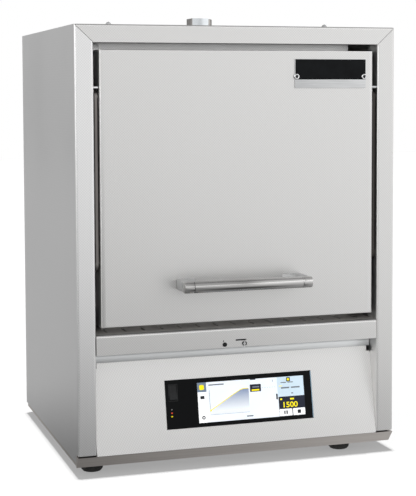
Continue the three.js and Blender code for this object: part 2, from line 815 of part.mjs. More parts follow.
// Door: a folded pan filled with board, with a tapered block that closes the chamber mouth
function addDoor() {
  const group = addGroup(model);
  const outer = [
    [-doorHalf, doorDepth],
    ...bend(bendRadius - doorHalf, bendRadius, bendRadius, Math.PI),
    ...bend(doorHalf - bendRadius, bendRadius, bendRadius, Math.PI * 1.5),
    [doorHalf, doorDepth],
  ];
  const innerHalf = doorHalf - sheet;
  const innerRadius = bendRadius - sheet;
  const inner = [
    [-innerHalf, doorDepth + overrun],
    ...bend(innerRadius - innerHalf, bendRadius, innerRadius, Math.PI),
    ...bend(innerHalf - innerRadius, bendRadius, innerRadius, Math.PI * 1.5),
    [innerHalf, doorDepth + overrun],
  ];
  const pins = sides.flatMap(([, side]) => [upperDoorPin, lowerDoorPin].map((place) =>
    pin(doorPinProfile(), side, place)));
  const round = doorEdgeRound;
  const edges = [
    [
      ...bend(round, doorTop - round, round, Math.PI / 2, 2),
      [-overrun, doorTop - round],
      [-overrun, doorTop + overrun],
      [round, doorTop + overrun],
    ], [
      ...bend(round, doorZ + round, round, Math.PI, 2),
      [round, doorZ - overrun],
      [-overrun, doorZ - overrun],
      [-overrun, doorZ + round],
    ],
  ].map((outline) => alongX(outline, -doorHalf - overrun, doorHalf + overrun));
  const shell = cut(
    alongZ(outer, doorZ, doorTop),
    alongZ(inner, doorZ + sheet, doorTop - sheet),
    ...edges,
    ...handleScrewPlaces.map((x) => rod(
      handleScrewRadius + seam, [x, -overrun, handleZ], [x, sheet + overrun, handleZ], smallRound)),
    ...rivetPlaces.map((x) => rod(
      rivetRadius - rivetProud + seam, [x, -overrun, rivetZ], [x, sheet + overrun, rivetZ], smallRound)),
  );
  addPiece(group, "door_shell", join(shell, ...pins), "texturedSteel");

  const boardHalf = doorHalf - sheet - doorFill;
  const boardBack = doorDepth - sheet - seam;
  const screwRoom = handleScrewPlaces.map((x) => rod(
    handleNutRadius + seam, [x, 0, handleZ], [x, handleScrewDepth + overrun, handleZ], smallRound));
  const rivetRoom = rivetPlaces.map((x) => rod(
    rivetRadius + seam, [x, 0, rivetZ], [x, sheet + rivetProud + overrun, rivetZ], smallRound));
  const board = cut(
    block([-boardHalf, boardHalf], [sheet + seam, boardBack], [doorZ + sheet + seam, doorTop - sheet - seam]),
    ...screwRoom, ...rivetRoom);
  addPiece(group, "door_insulation", board, "fibreBoard");

  const backHalf = doorHalf - sheet - seam;
  const holeHalf = mouthHalf - plugClearance + seam;
  const holeZ = [mouthZ[0] + plugClearance - seam, mouthZ[1] - plugClearance + seam];
  const backPlate = cut(
    block(
      [-backHalf, backHalf], [doorDepth - sheet, doorDepth], [doorZ + sheet + seam, doorTop - sheet - seam]),
    block([-holeHalf, holeHalf], [doorDepth - sheet - overrun, doorDepth + overrun], holeZ));
  addPiece(group, "door_back_plate", backPlate, "brushedSteel");

  const plug = frustum(
    mouthHalf - plugClearance, (mouthZ[1] - mouthZ[0]) / 2 - plugClearance, plugTaper, plugDepth + sheet);
  addPiece(group, "door_plug", plug, "fibreBoard")
    .position.set(0, doorDepth - sheet, (mouthZ[0] + mouthZ[1]) / 2);

  const sealRing = (margin, y) => block(
    [-mouthHalf - margin, mouthHalf + margin], y, [mouthZ[0] - margin, mouthZ[1] + margin]);
  const seal = cut(
    sealRing(sealMargin + sealWidth, [doorDepth + seam, doorDepth + blockFront - seam]),
    sealRing(sealMargin, [doorDepth - overrun, doorDepth + blockFront + overrun]));
  addPiece(group, "door_seal", seal, "fibreBoard");
}

// A block along +Y whose far end is smaller by the taper on every side
function frustum(halfX, halfZ, taper, depth) {
  const geometry = new THREE.BoxGeometry(2 * halfX, depth, 2 * halfZ).translate(0, depth / 2, 0);
  const position = geometry.attributes.position;
  for (let i = 0; i < position.count; i += 1) {
    if (position.getY(i) > depth / 2) {
      position.setX(i, Math.sign(position.getX(i)) * (halfX - taper));
      position.setZ(i, Math.sign(position.getZ(i)) * (halfZ - taper));
    }
  }
  return geometry;
}

// Handle: a tube between two cast posts, whose inner edges flare towards the door
function addHandle() {
  const group = addGroup(model);
  const right = handleLeft + handleLength;
  addPiece(group, "handle_bar", rod(handleRadius,
    [handleLeft + handleEnd + handleGroove, -handleReach, handleZ],
    [right - handleEnd - handleGroove, -handleReach, handleZ], largeRound), "polishedSteel");
  for (const [name, x, inward] of [["left", handleLeft, 1], ["right", right, -1]]) {
    const shape = new THREE.Shape();
    shape.moveTo(x, -seam);
    shape.lineTo(x, -handleReach);
    shape.lineTo(x + inward * handleEnd, -handleReach);
    shape.bezierCurveTo(
      x + inward * handleEnd, -handleReach / 2,
      x + inward * handleEnd, -handleReach / 3,
      x + inward * (handleEnd + handleFlare), -seam);
    shape.closePath();
    const middle = x + inward * handleEnd / 2;
    const inEnd = [x + inward * handleEnd, -handleReach, handleZ];
    const studEnd = [middle, handleScrewDepth, handleZ];
    addPiece(group, `handle_post_${name}`, join(
      alongZ(shape, handleZ - handleRadius, handleZ + handleRadius, tinyRound / 2),
      rod(handleRadius, [x, -handleReach, handleZ], inEnd, largeRound),
      rod(handleScrewRadius, [middle, -handleRadius, handleZ], studEnd, smallRound),
      rod(handleNutRadius, [middle, sheet + seam, handleZ], studEnd, smallRound),
    ), "texturedSteel");
  }
}

// Plate held by two eyelets, whose stems pass through the door's front sheet
function addDoorPlate() {
  const group = addGroup(model);
  const right = doorHalf - plateInsetRight;
  const top = doorTop - plateInsetTop;
  const face = -seam - plateThickness;
  const stem = rivetRadius - rivetProud;
  const eyelets = rivetPlaces.flatMap((x) => [
    rod(rivetRadius, [x, face - rivetProud, rivetZ], [x, face + sheet / 2, rivetZ]),
    rod(stem, [x, face, rivetZ], [x, sheet + seam + rivetProud, rivetZ], smallRound),
  ]);
  const boreY = [face - rivetProud - overrun, sheet + seam + rivetProud + overrun];
  const bores = rivetPlaces.map((x) => rod(
    rivetBore, [x, boreY[0], rivetZ], [x, boreY[1], rivetZ], tinyRound));
  const plate = block([right - plateWidth, right], [face, -seam], [top - plateHeight, top]);
  addPiece(group, "door_plate", cut(join(plate, ...eyelets), ...bores), "blackPlate");
}

// Two pairs of parallel arms in the gaps beside the door keep it upright as it swings up and over
function addDoorArms() {
  const group = addGroup(model);
  const armLine = (door, house) => {
    const shape = slotShape(door.y, door.z, house.z, armWidth / 2);
    for (const { z } of [door, house]) {
      const hole = new THREE.Path();
      hole.absarc(door.y, z, pinRadius + seam, 0, 2 * Math.PI, true);
      shape.holes.push(hole);
    }
    return shape;
  };
  const pairs = [["upper", upperDoorPin, upperHousePin], ["lower", lowerDoorPin, lowerHousePin]];
  const rests = [postInner - seam, bracketX + sheet / 2];
  for (const [name, side] of sides) {
    for (const [level, door, house] of pairs) {
      const arm = alongX(armLine(door, house), ...span(side * armInner, side * armOuter));
      addPiece(group, `${name}_${level}_arm`, arm, "brushedSteel");
    }
    const plate = alongX(bracketShape(), ...span(side * bracketX, side * (bracketX + bracketThickness)));
    const pins = pairs.map(([, , house], i) => pin(housePinProfile(rests[i]), side, house));
    addPiece(group, `${name}_pivot_bracket`, join(plate, ...pins), "brushedSteel");
  }
}

function bracketShape() {
  const front = bendRadius + seam;
  const back = lowerHousePin.y + bracketMargin;
  const low = lowerHousePin.z - bracketMargin;
  const high = upperHousePin.z + bracketMargin;
  return [
    [front, low],
    [back, low],
    [back, lowerHousePin.z + bracketMargin],
    [upperHousePin.y + bracketMargin, high],
    [front, high],
  ];
}

// Each profile is a list of [radius, distance from the middle plane] points
function housePinProfile(rest) {
  const head = armInner - seam - pinHead;
  const nut = bracketX + bracketThickness - sheet / 2;
  return [
    [0, head],
    [pinHeadRadius, head],
    [pinHeadRadius, head + pinHead],
    [pinRadius, head + pinHead],
    [pinRadius, armOuter + seam],
    [pinHeadRadius, armOuter + seam],
    [pinHeadRadius, rest],
    [pinRadius, rest],
    [pinRadius, nut],
    [pinNutRadius, nut],
    [pinNutRadius, nut + pinNut],
    [0, nut + pinNut],
  ];
}

function doorPinProfile() {
  const wall = doorHalf - sheet / 2;
  return [
    [0, wall - pinNut],
    [pinNutRadius, wall - pinNut],
    [pinNutRadius, wall],
    [pinHeadRadius, wall],
    [pinHeadRadius, armInner - seam],
    [pinRadius, armInner - seam],
    [pinRadius, armOuter + seam],
    [pinHeadRadius, armOuter + seam],
    [pinHeadRadius, armOuter + seam + pinHead],
    [0, armOuter + seam + pinHead],
  ];
}

function pin(profile, side, { y, z }) {
  return turned(profile, tinyRound).rotateY(side * Math.PI / 2).translate(0, y, z);
}

// Heated block: a sheet casing, fibre board all round, and a ceramic floor
function addHeatedBlock() {
  const group = addGroup(model);
  const half = blockWidth / 2;
  const back = blockY + blockDepth;
  const legPorts = elementLegs.map(([x, y]) => rod(
    elementHole, [x, y, chamberTop - overrun], [x, y, blockTop + overrun], tinyRound));
  const fluePort = rod(flueRadius + seam, [0, flueY, chamberTop - overrun], [0, flueY, blockTop + overrun]);
  const probePort = rod(
    probeRadius + seam, [0, chamberBack - overrun, probeZ], [0, back + overrun, probeZ], smallRound);
  const casing = cut(
    block([-half, half], [blockY + mouthDepth, back], [blockZ, blockTop]),
    block([sheet - half, half - sheet], [blockY, back - sheet], [blockZ + sheet, blockTop - sheet]),
    ...legPorts, fluePort, probePort);
  addPiece(group, "block_casing", casing, "brushedSteel");

  const collar = cut(
    block([-half, half], [blockY, chamberY - seam], [blockZ, blockTop]),
    block([-mouthHalf, mouthHalf], [blockY - overrun, chamberY + overrun], mouthZ));
  addPiece(group, "chamber_collar", collar, "ceramic");

  const rim = half + frontPlateRim;
  const frontPlate = cut(
    block([-rim, rim], [blockY, blockY + sheet], [deckZ + seam, roofZ - sheet - seam]),
    block([-half - seam, half + seam], [blockY - overrun, blockY + sheet + overrun],
      [blockZ - seam, blockTop + seam]));
  addPiece(group, "front_plate", frontPlate, "brushedSteel");

  const inner = half - sheet - seam;
  const low = blockZ + sheet + seam;
  const high = blockTop - sheet - seam;
  const front = chamberY;
  const rear = back - sheet - seam;
  const room = chamberWidth / 2;
  for (const [name, side] of sides) {
    const wall = block(span(side * room, side * inner), [front, rear], [low, high]);
    addPiece(group, `${name}_insulation`, wall, "fibreBoard");
  }
  const across = [seam - room, room - seam];
  const top = cut(block(across, [front, rear], [chamberTop, high]), ...legPorts, fluePort);
  const behind = cut(block(across, [chamberBack, rear], [chamberZ + seam, chamberTop - seam]), probePort);
  addPiece(group, "bottom_insulation", block(across, [front, rear], [low, chamberZ]), "fibreBoard");
  addPiece(group, "top_insulation", top, "fibreBoard");
  addPiece(group, "rear_insulation", behind, "fibreBoard");
  const plateHalf = elementX - elementRadius - elementWallGap;
  addPiece(group, "chamber_floor", block(
    [-plateHalf, plateHalf],
    [chamberY + seam, chamberBack - seam],
    [chamberZ + seam, chamberZ + seam + floorPlate],
  ), "ceramic");
}

function addHeatingElements() {
  const group = addGroup(model);
  const bendOfLegs = elementLegPitch / 2;
  const bendZ = chamberZ + elementFloorGap + bendOfLegs;
  const topZ = blockTop + elementRise;
  const section = new THREE.Shape().absarc(0, 0, elementRadius, 0, 2 * Math.PI, false);
  const rounding = { steps: tinyRound / 2, curveSegments: tinyRound / 3 };
  const clampZ = [blockTop + seam + holderHeight + seam, blockTop + holderHeight + clampHeight];
  for (const [name, side] of sides) {
    const x = side * elementX;
    const legs = elementPairs.flatMap((middle) => [middle - bendOfLegs, middle + bendOfLegs]);
    elementPairs.forEach((middle, i) => {
      const arc = new HairpinBend(x, middle, bendZ, bendOfLegs);
      const ends = [middle - bendOfLegs, middle + bendOfLegs];
      addPiece(group, `${name}_heating_element_${i + 1}`, join(
        new THREE.ExtrudeGeometry(section, { ...rounding, extrudePath: arc }),
        ...ends.map((y) => rod(elementRadius, [x, y, bendZ - seam], [x, y, topZ], tinyRound / 3 * 2)),
        ...ends.map((y) => block(
          [x - clampWidth / 2, x + clampWidth / 2], [y - clampWidth / 2, y + clampWidth / 2], clampZ)),
      ), "heatingElement");
    });
    const reach = [legs[0] - clampWidth / 2, legs[legs.length - 1] + clampWidth / 2];
    const carrierZ = [blockTop + seam, blockTop + seam + holderHeight];
    addPiece(group, `${name}_element_carrier`, cut(
      block([x - clampWidth / 2, x + clampWidth / 2], reach, carrierZ),
      ...legs.map((y) => rod(
        elementRadius + seam, [x, y, blockTop - overrun], [x, y, topZ + overrun], tinyRound)),
    ), "ceramic");
  }
}

// Half circle in a plane across X, from one leg round to the other
class HairpinBend extends THREE.Curve {
  constructor(x, y, z, radius) {
    super();
    this.middle = new THREE.Vector3(x, y, z);
    this.radius = radius;
  }

  getPoint(t, target = new THREE.Vector3()) {
    const angle = Math.PI * (1 + t);
    return target.set(
      this.middle.x,
      this.middle.y + this.radius * Math.cos(angle),
      this.middle.z + this.radius * Math.sin(angle));
  }
}

function addExhaust() {
  const group = addGroup(model);
  const under = roofZ - sheet - seam;
  const bore = stubRadius - stubWall;
  addPiece(group, "exhaust_stub", turned([
    [bore, under - stubWall],
    [stubFlange, under - stubWall],
    [stubFlange, under],
    [stubRadius, under],
    [stubRadius, roofZ + stubRise - stubWall],
    [stubRadius - stubWall / 3, roofZ + stubRise],
    [bore + stubWall / 3, roofZ + stubRise],
    [bore, roofZ + stubRise - stubWall],
    [bore, under - stubWall],
  ], largeRound), "polishedSteel").position.y = flueY;
  addPiece(group, "exhaust_flue", turned([
    [flueBore, chamberTop],
    [flueRadius, chamberTop],
    [flueRadius, under - stubWall - seam],
    [flueBore, under - stubWall - seam],
    [flueBore, chamberTop],
  ]), "ceramic").position.y = flueY;
  const rings = tinyRound / 4;
  const dome = Array.from({ length: rings }, (_, i) => (Math.PI / 2) * (i / rings))
    .map((angle) => [capRadius * Math.cos(angle), seam + capRise * Math.sin(angle)]);
  for (const [name, side] of sides) {
    addPiece(group, `${name}_roof_cap`, turned([
      [0, -sheet - overrun],
      [screwShank, -sheet - overrun],
      [screwShank, seam],
      ...dome,
      [0, seam + capRise],
    ], tinyRound), "polishedSteel").position.set(side * (halfWidth - capInset), capSetback, roofZ);
  }
}

function addThermocouple() {
  const group = addGroup(model);
  const back = blockY + blockDepth;
  addPiece(group, "thermocouple", join(
    rod(probeRadius, [0, chamberBack - probeReach, probeZ], [0, back + overrun, probeZ], tinyRound),
    rod(probeHeadRadius, [0, back + seam, probeZ], [0, back + seam + probeHeadDepth, probeZ])), "ceramic");
}

// Cooling fan on the rear panel, with its guard outside
function addFan() {
  const group = addGroup(model);
  const rear = caseDepth;
  const front = rear - fanDepth;
  const half = fanSize / 2;
  const strut = fanHub / 4;
  const bore = rod(fanBore, [0, front - overrun, 0], [0, rear + overrun, 0], largeRound);
  const struts = [0, 1].map((turn) => block([-fanBore, fanBore], [front, front + sheet], [-strut, strut])
    .rotateY((turn + 1 / 2) * Math.PI / 2));
  const frame = join(
    cut(block([-half, half], [front, rear], [-half, half]), bore),
    ...struts,
    rod(fanHub, [0, front, 0], [0, front + fanMotorDepth, 0]));
  addPiece(group, "fan_frame", frame, "blackPlastic").position.set(fanX, 0, fanZ);

  const rotorFront = front + fanMotorDepth + seam;
  const rotorRear = rear - overrun;
  const bladeMiddle = (rotorFront + rotorRear) / 2;
  const chord = (rotorRear - rotorFront) * fanChordShare / Math.cos(THREE.MathUtils.degToRad(fanBladePitch));
  const sweep = rod(fanBore - fanTipGap, [0, rotorFront, 0], [0, rotorRear, 0], largeRound);
  const blades = Array.from({ length: fanBlades }, (_, i) => block(
    [fanHub / 2, fanBore], [-chord / 2, chord / 2], [-fanBladeThickness / 2, fanBladeThickness / 2])
    .rotateX(THREE.MathUtils.degToRad(fanBladePitch))
    .translate(0, bladeMiddle, 0)
    .rotateY(2 * Math.PI * i / fanBlades));
  const rotor = join(rod(fanHub, [0, rotorFront, 0], [0, rotorRear, 0]), ...blades)
    .intersect(toSolid(sweep));
  addPiece(group, "fan_rotor", rotor, "blackPlastic").position.set(fanX, 0, fanZ);
}

function addMainsInlet() {
  const group = addGroup(model);
  const half = inletWidth / 2;
  const high = inletHeight / 2;
  const front = rearFace - inletDepth;
  const body = cut(
    join(
      block([-half, half], [front, rearMost], [-high, high]),
      block([-half - inletBezel, half + inletBezel], [rearFace + seam, rearMost],
        [-high - inletBezel, high + inletBezel])),
    block([inletBezel - half, half - inletBezel], [front + inletBezel, rearMost + overrun],
      [inletBezel - high, high - inletBezel]));
  const pins = [-1, 0, 1].map((place) => block(
    [place * inletPinPitch - inletPinWidth / 2, place * inletPinPitch + inletPinWidth / 2],
    [front + inletBezel / 2, rearFace - inletProud],
    [-inletPinHeight / 2, inletPinHeight / 2]));
  addPiece(group, "mains_inlet", join(body, ...pins), "blackPlastic").position.set(inletX, 0, inletZ);
}

// Electrical bay: transformer for the elements and the power stage on its heat sink
function addElectricalBay() {
  const group = addGroup(model);
  const floor = baseZ + sheet + seam;
  const half = transformerWidth / 2;
  const legHalf = half / 3;
  const coreY = transformerDepth / 2 - coilOverhang;
  const windowHeight = transformerHeight - legHalf * 2;
  const windowMiddle = transformerHeight / 2;
  const windowZ = [windowMiddle - windowHeight / 2, windowMiddle + windowHeight / 2];
  const windows = sides.map(([, side]) => block(
    span(side * legHalf, side * (half - legHalf / 2)), [-coreY - overrun, coreY + overrun], windowZ));
  const core = cut(block([-half, half], [-coreY, coreY], [0, transformerHeight]), ...windows);
  const coil = block(
    [legHalf / 2 - half, half - legHalf / 2], [-transformerDepth / 2, transformerDepth / 2], windowZ);
  addPiece(group, "transformer", join(core, coil), "darkSteel")
    .position.set(transformerInset - halfWidth, transformerSetback, floor);

  const pitch = (moduleWidth - finThickness) / (finCount - 1);
  const base = block([-moduleWidth / 2, moduleWidth / 2], [0, moduleDepth], [0, moduleHeight - finHeight]);
  const fins = Array.from({ length: finCount }, (_, i) => block(
    [i * pitch - moduleWidth / 2, i * pitch - moduleWidth / 2 + finThickness],
    [0, moduleDepth],
    [0, moduleHeight]));
  addPiece(group, "heat_sink", join(base, ...fins), "aluminium")
    .position.set(halfWidth - moduleInset, moduleSetback - moduleDepth / 2, floor);
}

addCaseSheets();
addBaseTray();
addFeet();
addRearPanel();
addFeaturesOfCrossbar();
addDeck();
addControlPanel();
addDoor();
addHandle();
addDoorPlate();
addDoorArms();
addHeatedBlock();
addHeatingElements();
addExhaust();
addThermocouple();
addFan();
addMainsInlet();
addElectricalBay();

export default model;
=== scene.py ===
import json
import math

import bmesh
import bpy
from mathutils import Matrix, Vector


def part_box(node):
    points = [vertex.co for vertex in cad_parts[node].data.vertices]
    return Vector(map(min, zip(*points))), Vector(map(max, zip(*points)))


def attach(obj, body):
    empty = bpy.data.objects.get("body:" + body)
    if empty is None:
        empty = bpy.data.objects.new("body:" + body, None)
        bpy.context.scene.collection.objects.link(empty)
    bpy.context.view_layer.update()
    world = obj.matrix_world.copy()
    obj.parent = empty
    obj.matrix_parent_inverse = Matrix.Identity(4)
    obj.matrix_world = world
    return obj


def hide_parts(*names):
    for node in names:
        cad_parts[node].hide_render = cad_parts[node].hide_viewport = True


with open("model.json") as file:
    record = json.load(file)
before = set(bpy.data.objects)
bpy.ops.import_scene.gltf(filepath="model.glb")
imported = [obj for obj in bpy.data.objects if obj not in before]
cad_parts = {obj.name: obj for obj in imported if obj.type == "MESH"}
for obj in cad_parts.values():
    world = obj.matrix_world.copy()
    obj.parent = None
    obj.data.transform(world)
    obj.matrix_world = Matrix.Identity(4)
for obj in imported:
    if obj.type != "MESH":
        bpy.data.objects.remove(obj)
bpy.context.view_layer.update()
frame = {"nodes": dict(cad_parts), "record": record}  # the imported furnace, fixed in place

nodes = frame["nodes"]
mm = 0.001
thin = 0.05  # one printed layer, in mm
quarterTurn = math.radians(90)

print("frame loaded,", len(nodes), "nodes")

# colours and node helpers


def colour(hexText):
    # an sRGB hex text as Blender's linear colour
    parts = [int(hexText[i:i + 2], 16) / 255 for i in (1, 3, 5)]
    return tuple(c / 12.92 if c <= 0.04045 else ((c + 0.055) / 1.055) ** 2.4 for c in parts) + (1.0,)


def addNode(tree, kind, inputs=None, **settings):
    node = tree.nodes.new(kind)
    for name, value in settings.items():
        setattr(node, name, value)
    for socket, value in (inputs or {}).items():
        if isinstance(value, bpy.types.NodeSocket):
            tree.links.new(value, node.inputs[socket])
        else:
            node.inputs[socket].default_value = value
    return node


def calculate(tree, operation, *values):
    return addNode(tree, "ShaderNodeMath", dict(enumerate(values)), operation=operation).outputs[0]


def rescale(tree, value, seen=(0.0, 1.0), given=(0.0, 1.0)):
    # turns one span of values into another, and holds it at both ends
    return addNode(tree, "ShaderNodeMapRange", {
        "Value": value, "From Min": seen[0], "From Max": seen[1],
        "To Min": given[0], "To Max": given[1]}).outputs[0]


def setStops(ramp, stops):
    band = ramp.color_ramp
    while len(band.elements) < len(stops):
        band.elements.new(0.5)
    for element, (spot, shade) in zip(band.elements, stops):
        element.position = spot
        element.color = shade
    return ramp.outputs[0]


def startMaterial(name, **sockets):
    material = bpy.data.materials.new(name)
    material.use_nodes = True
    tree = material.node_tree
    tree.nodes.clear()
    shader = addNode(tree, "ShaderNodeBsdfPrincipled", sockets)
    out = addNode(tree, "ShaderNodeOutputMaterial")
    tree.links.new(shader.outputs[0], out.inputs[0])
    return material, tree, shader


def objectPlace(tree, scale=(1, 1, 1)):
    spot = addNode(tree, "ShaderNodeTexCoord").outputs["Object"]
    return addNode(tree, "ShaderNodeMapping", {"Vector": spot, "Scale": scale}).outputs[0]


def cloud(tree, spot, scale, detail):
    return addNode(tree, "ShaderNodeTexNoise", {
        "Vector": spot, "Scale": scale, "Detail": detail}).outputs["Fac"]


def streaks(tree, stretch, detail):
    # noise drawn out along the axes whose stretch is small
    return cloud(tree, objectPlace(tree, stretch), 1.0, detail)


def tint(tree, shader, value, low, high, margin=0.3):
    # base colour from low to high as the value rises, plain within the margins
    ramp = addNode(tree, "ShaderNodeValToRGB", {0: value})
    shade = setStops(ramp, [(margin, colour(low)), (1 - margin, colour(high))])
    tree.links.new(shade, shader.inputs["Base Color"])
    return shade


def emboss(tree, shader, height, strength, distance):
    bump = addNode(tree, "ShaderNodeBump", {
        "Strength": strength, "Distance": distance, "Height": height})
    tree.links.new(bump.outputs[0], shader.inputs["Normal"])


def unevenColour(tree, shader, low, high, scale, detail=3.0):
    tint(tree, shader, cloud(tree, objectPlace(tree), scale, detail), low, high)


def grain(tree, shader, scale, strength, distance, roughness=None):
    height = cloud(tree, objectPlace(tree), scale, 4.0)
    emboss(tree, shader, height, strength, distance)
    if roughness:
        tree.links.new(rescale(tree, height, given=roughness), shader.inputs["Roughness"])


# metals


def patternRolledStainless(name, hollow, ridge, roughness=0.4):
    # stainless sheet rolled with a fine lozenge: small dots that catch light in diagonal rows
    # on faces towards either side the dots run together, so they fade there
    look = {
        "pitch": 3 * mm,  # dots lie 2.1 mm apart; real ones are about 1 mm, too fine to show
        "lift": 0.03 * mm,
        "sideShare": 0.15,
        "wear": (roughness - 0.03, roughness + 0.05),
    }
    material, tree, shader = startMaterial(name, Metallic=1.0, Roughness=roughness)
    spot = addNode(tree, "ShaderNodeTexCoord").outputs["Object"]
    turn = 2 * math.pi / look["pitch"]
    waves = []
    for direction in ((1, 1, 0), (0, -1, 1)):
        along = addNode(tree, "ShaderNodeVectorMath", {
            0: spot, 1: tuple(turn * part for part in direction)}, operation="DOT_PRODUCT")
        waves.append(calculate(tree, "SINE", along.outputs["Value"]))
    dots = calculate(tree, "MULTIPLY", *waves)
    normal = addNode(tree, "ShaderNodeNewGeometry").outputs["Normal"]
    sideways = calculate(
        tree, "ABSOLUTE", addNode(tree, "ShaderNodeSeparateXYZ", {0: normal}).outputs["X"])
    fade = rescale(tree, sideways, given=(1.0, look["sideShare"]))
    height = rescale(tree, calculate(tree, "MULTIPLY", dots, fade), seen=(-1.0, 1.0))
    tint(tree, shader, height, hollow, ridge, 0.15)
    worn = rescale(tree, cloud(tree, spot, 9.0, 2.0), given=look["wear"])
    tree.links.new(worn, shader.inputs["Roughness"])
    emboss(tree, shader, height, 0.6, look["lift"])
    return material


def brushedStainless(name, dark, light, stretch, roughness, metallic=1.0):
    # sheet ground along one way: fine streaks with a soft sheen across them
    material, tree, shader = startMaterial(name, Metallic=metallic, Roughness=roughness)
    lines = streaks(tree, stretch, 5.0)
    tint(tree, shader, lines, dark, light)
    emboss(tree, shader, lines, 0.25, 0.02 * mm)
    return material


def turnedSteel(name, low, high, roughness):
    # steel turned on a lathe: bright, with faint rings
    material, tree, shader = startMaterial(name, Metallic=1.0, Roughness=roughness)
    unevenColour(tree, shader, low, high, 12.0)
    emboss(tree, shader, streaks(tree, (1800, 20, 20), 2.0), 0.04, 0.01 * mm)
    return material


def powderCoat(name, low, high, roughness=0.5):
    # baked powder paint: slight orange peel
    material, tree, shader = startMaterial(name, Roughness=roughness)
    unevenColour(tree, shader, low, high, 40.0)
    grain(tree, shader, 900.0, 0.2, 0.05 * mm, (roughness - 0.05, roughness + 0.08))
    return material


# other materials


def mouldedPlastic(name, low, high, roughness=0.45):
    # injection-moulded ABS with a fine spark-eroded grain
    material, tree, shader = startMaterial(name, Roughness=roughness, IOR=1.53)
    shader.inputs["Specular IOR Level"].default_value = 0.25
    unevenColour(tree, shader, low, high, 80.0)
    grain(tree, shader, 1600.0, 0.15, 0.03 * mm, (roughness - 0.06, roughness + 0.06))
    return material


def nitrileRubber():
    # dull black rubber, a little dusty
    material, tree, shader = startMaterial("nitrileRubber", Roughness=0.75, IOR=1.52)
    unevenColour(tree, shader, "#141413", "#232220", 120.0)
    grain(tree, shader, 1200.0, 0.3, 0.08 * mm, (0.65, 0.85))
    return material


def fibreBoard():
    # vacuum-formed ceramic fibre: chalky white with a felted surface
    material, tree, shader = startMaterial("ceramicFibreBoard", Roughness=0.95, IOR=1.45)
    unevenColour(tree, shader, "#E4DFD2", "#F4F1E8", 35.0)
    grain(tree, shader, 420.0, 0.6, 0.5 * mm)
    return material


def firedCeramic():
    # cast and fired alumina: cream, faintly speckled
    material, tree, shader = startMaterial("firedAlumina", Roughness=0.6, IOR=1.76)
    unevenColour(tree, shader, "#D8CFBC", "#EDE7D8", 90.0, 6.0)
    grain(tree, shader, 700.0, 0.3, 0.15 * mm, (0.5, 0.7))
    return material


def molybdenumDisilicide():
    # dark grey hairpin with a thin glassy skin
    material, tree, shader = startMaterial("molybdenumDisilicide", Roughness=0.45, Metallic=0.6)
    unevenColour(tree, shader, "#3A3632", "#5B554E", 150.0)
    grain(tree, shader, 1500.0, 0.3, 0.1 * mm, (0.35, 0.55))
    return material


def extrudedAluminium():
    # extruded heat sink: pale, with drawn lines along its fins
    material, tree, shader = startMaterial("extrudedAluminium", Metallic=1.0, Roughness=0.38)
    unevenColour(tree, shader, "#B2B4B7", "#C4C6C8", 50.0)
    emboss(tree, shader, streaks(tree, (900, 20, 900), 3.0), 0.2, 0.03 * mm)
    return material


def coverGlass():
    # black printed glass over the controller, with faint finger marks
    material, tree, shader = startMaterial("blackCoverGlass", Roughness=0.06, IOR=1.5)
    shader.inputs["Specular IOR Level"].default_value = 0.1
    unevenColour(tree, shader, "#050607", "#090A0C", 25.0)
    smear = rescale(tree, cloud(tree, objectPlace(tree), 45.0, 3.0), given=(0.04, 0.12))
    tree.links.new(smear, shader.inputs["Roughness"])
    return material


def litScreen(name, low, high, glow=0.0, fadeUp=None):
    # lit display under glass with a fine pixel grid
    # its colour is even, or fades up the screen from one height to another
    material, tree, shader = startMaterial(name, Roughness=0.12, IOR=1.5)
    shader.inputs["Specular IOR Level"].default_value = 0.3
    spot = objectPlace(tree)
    if fadeUp:
        height = addNode(tree, "ShaderNodeSeparateXYZ", {0: spot}).outputs["Z"]
        change = rescale(tree, height, seen=fadeUp)
    else:
        change = cloud(tree, spot, 30.0, 1.0)
    shade = tint(tree, shader, change, low, high, 0.0)
    pixels = addNode(tree, "ShaderNodeTexVoronoi", {
        "Vector": spot, "Scale": 3500.0, "Randomness": 0.0}).outputs["Distance"]
    emboss(tree, shader, pixels, 0.03, 0.01 * mm)
    if glow:
        tree.links.new(shade, shader.inputs["Emission Color"])
        shader.inputs["Emission Strength"].default_value = glow
    return material


def stoveEnamel(name, low, high, roughness=0.25):
    # fired enamel on a thin plate: deep and glossy
    material, tree, shader = startMaterial(name, Roughness=roughness, IOR=1.5)
    shader.inputs["Specular IOR Level"].default_value = 0.1
    unevenColour(tree, shader, low, high, 70.0)
    grain(tree, shader, 500.0, 0.08, 0.03 * mm)
    return material


# finishes; a stretch is the streaks' fineness along x, y and z

steelSheet = patternRolledStainless("patternRolledSheet", "#D0CFCE", "#DDDDDC")
# a paler copy of the pattern-rolled sheet for the left side and the front plate: painted light
paintedLightSheet = patternRolledStainless("patternRolledPaintedLight", "#DEDEDE", "#ECECEC", 0.34)
traySteel = brushedStainless("groundStainlessTray", "#D4CEC9", "#E4DED9", (14, 900, 900), 0.36)
innerSteel = brushedStainless("millFinishStainless", "#8E8B88", "#A9A6A3", (700, 700, 18), 0.42)
tubeSteel = turnedSteel("turnedStainlessTube", "#B2B1B0", "#B9B8B7", 0.11)
castSteel = brushedStainless("satinCastStainless", "#A9A9A9", "#B0B0B0", (60, 60, 60), 0.58, 0.6)
# a pale and a dark copy of the duct's steel, for its front and its sides: painted light and painted
# shade
litDuctSteel = brushedStainless("paintedLightDuctStainless", "#D3D8DB", "#DDE1E4", (90, 90, 90), 0.2)
shadedDuctSide = brushedStainless("paintedShadeDuctStainless", "#8F8C89", "#9C9996", (90, 90, 90), 0.3)
brightSteel = turnedSteel("polishedStainless", "#C9CACB", "#DADADB", 0.14)
# the panel's fold strip takes a paler, partly diffuse steel than the panel: painted light under the
# crossbar
litFoldSteel = brushedStainless("paintedLightFoldStainless", "#DCDEDF", "#E4E6E7", (14, 60, 60), 0.34, 0.8)
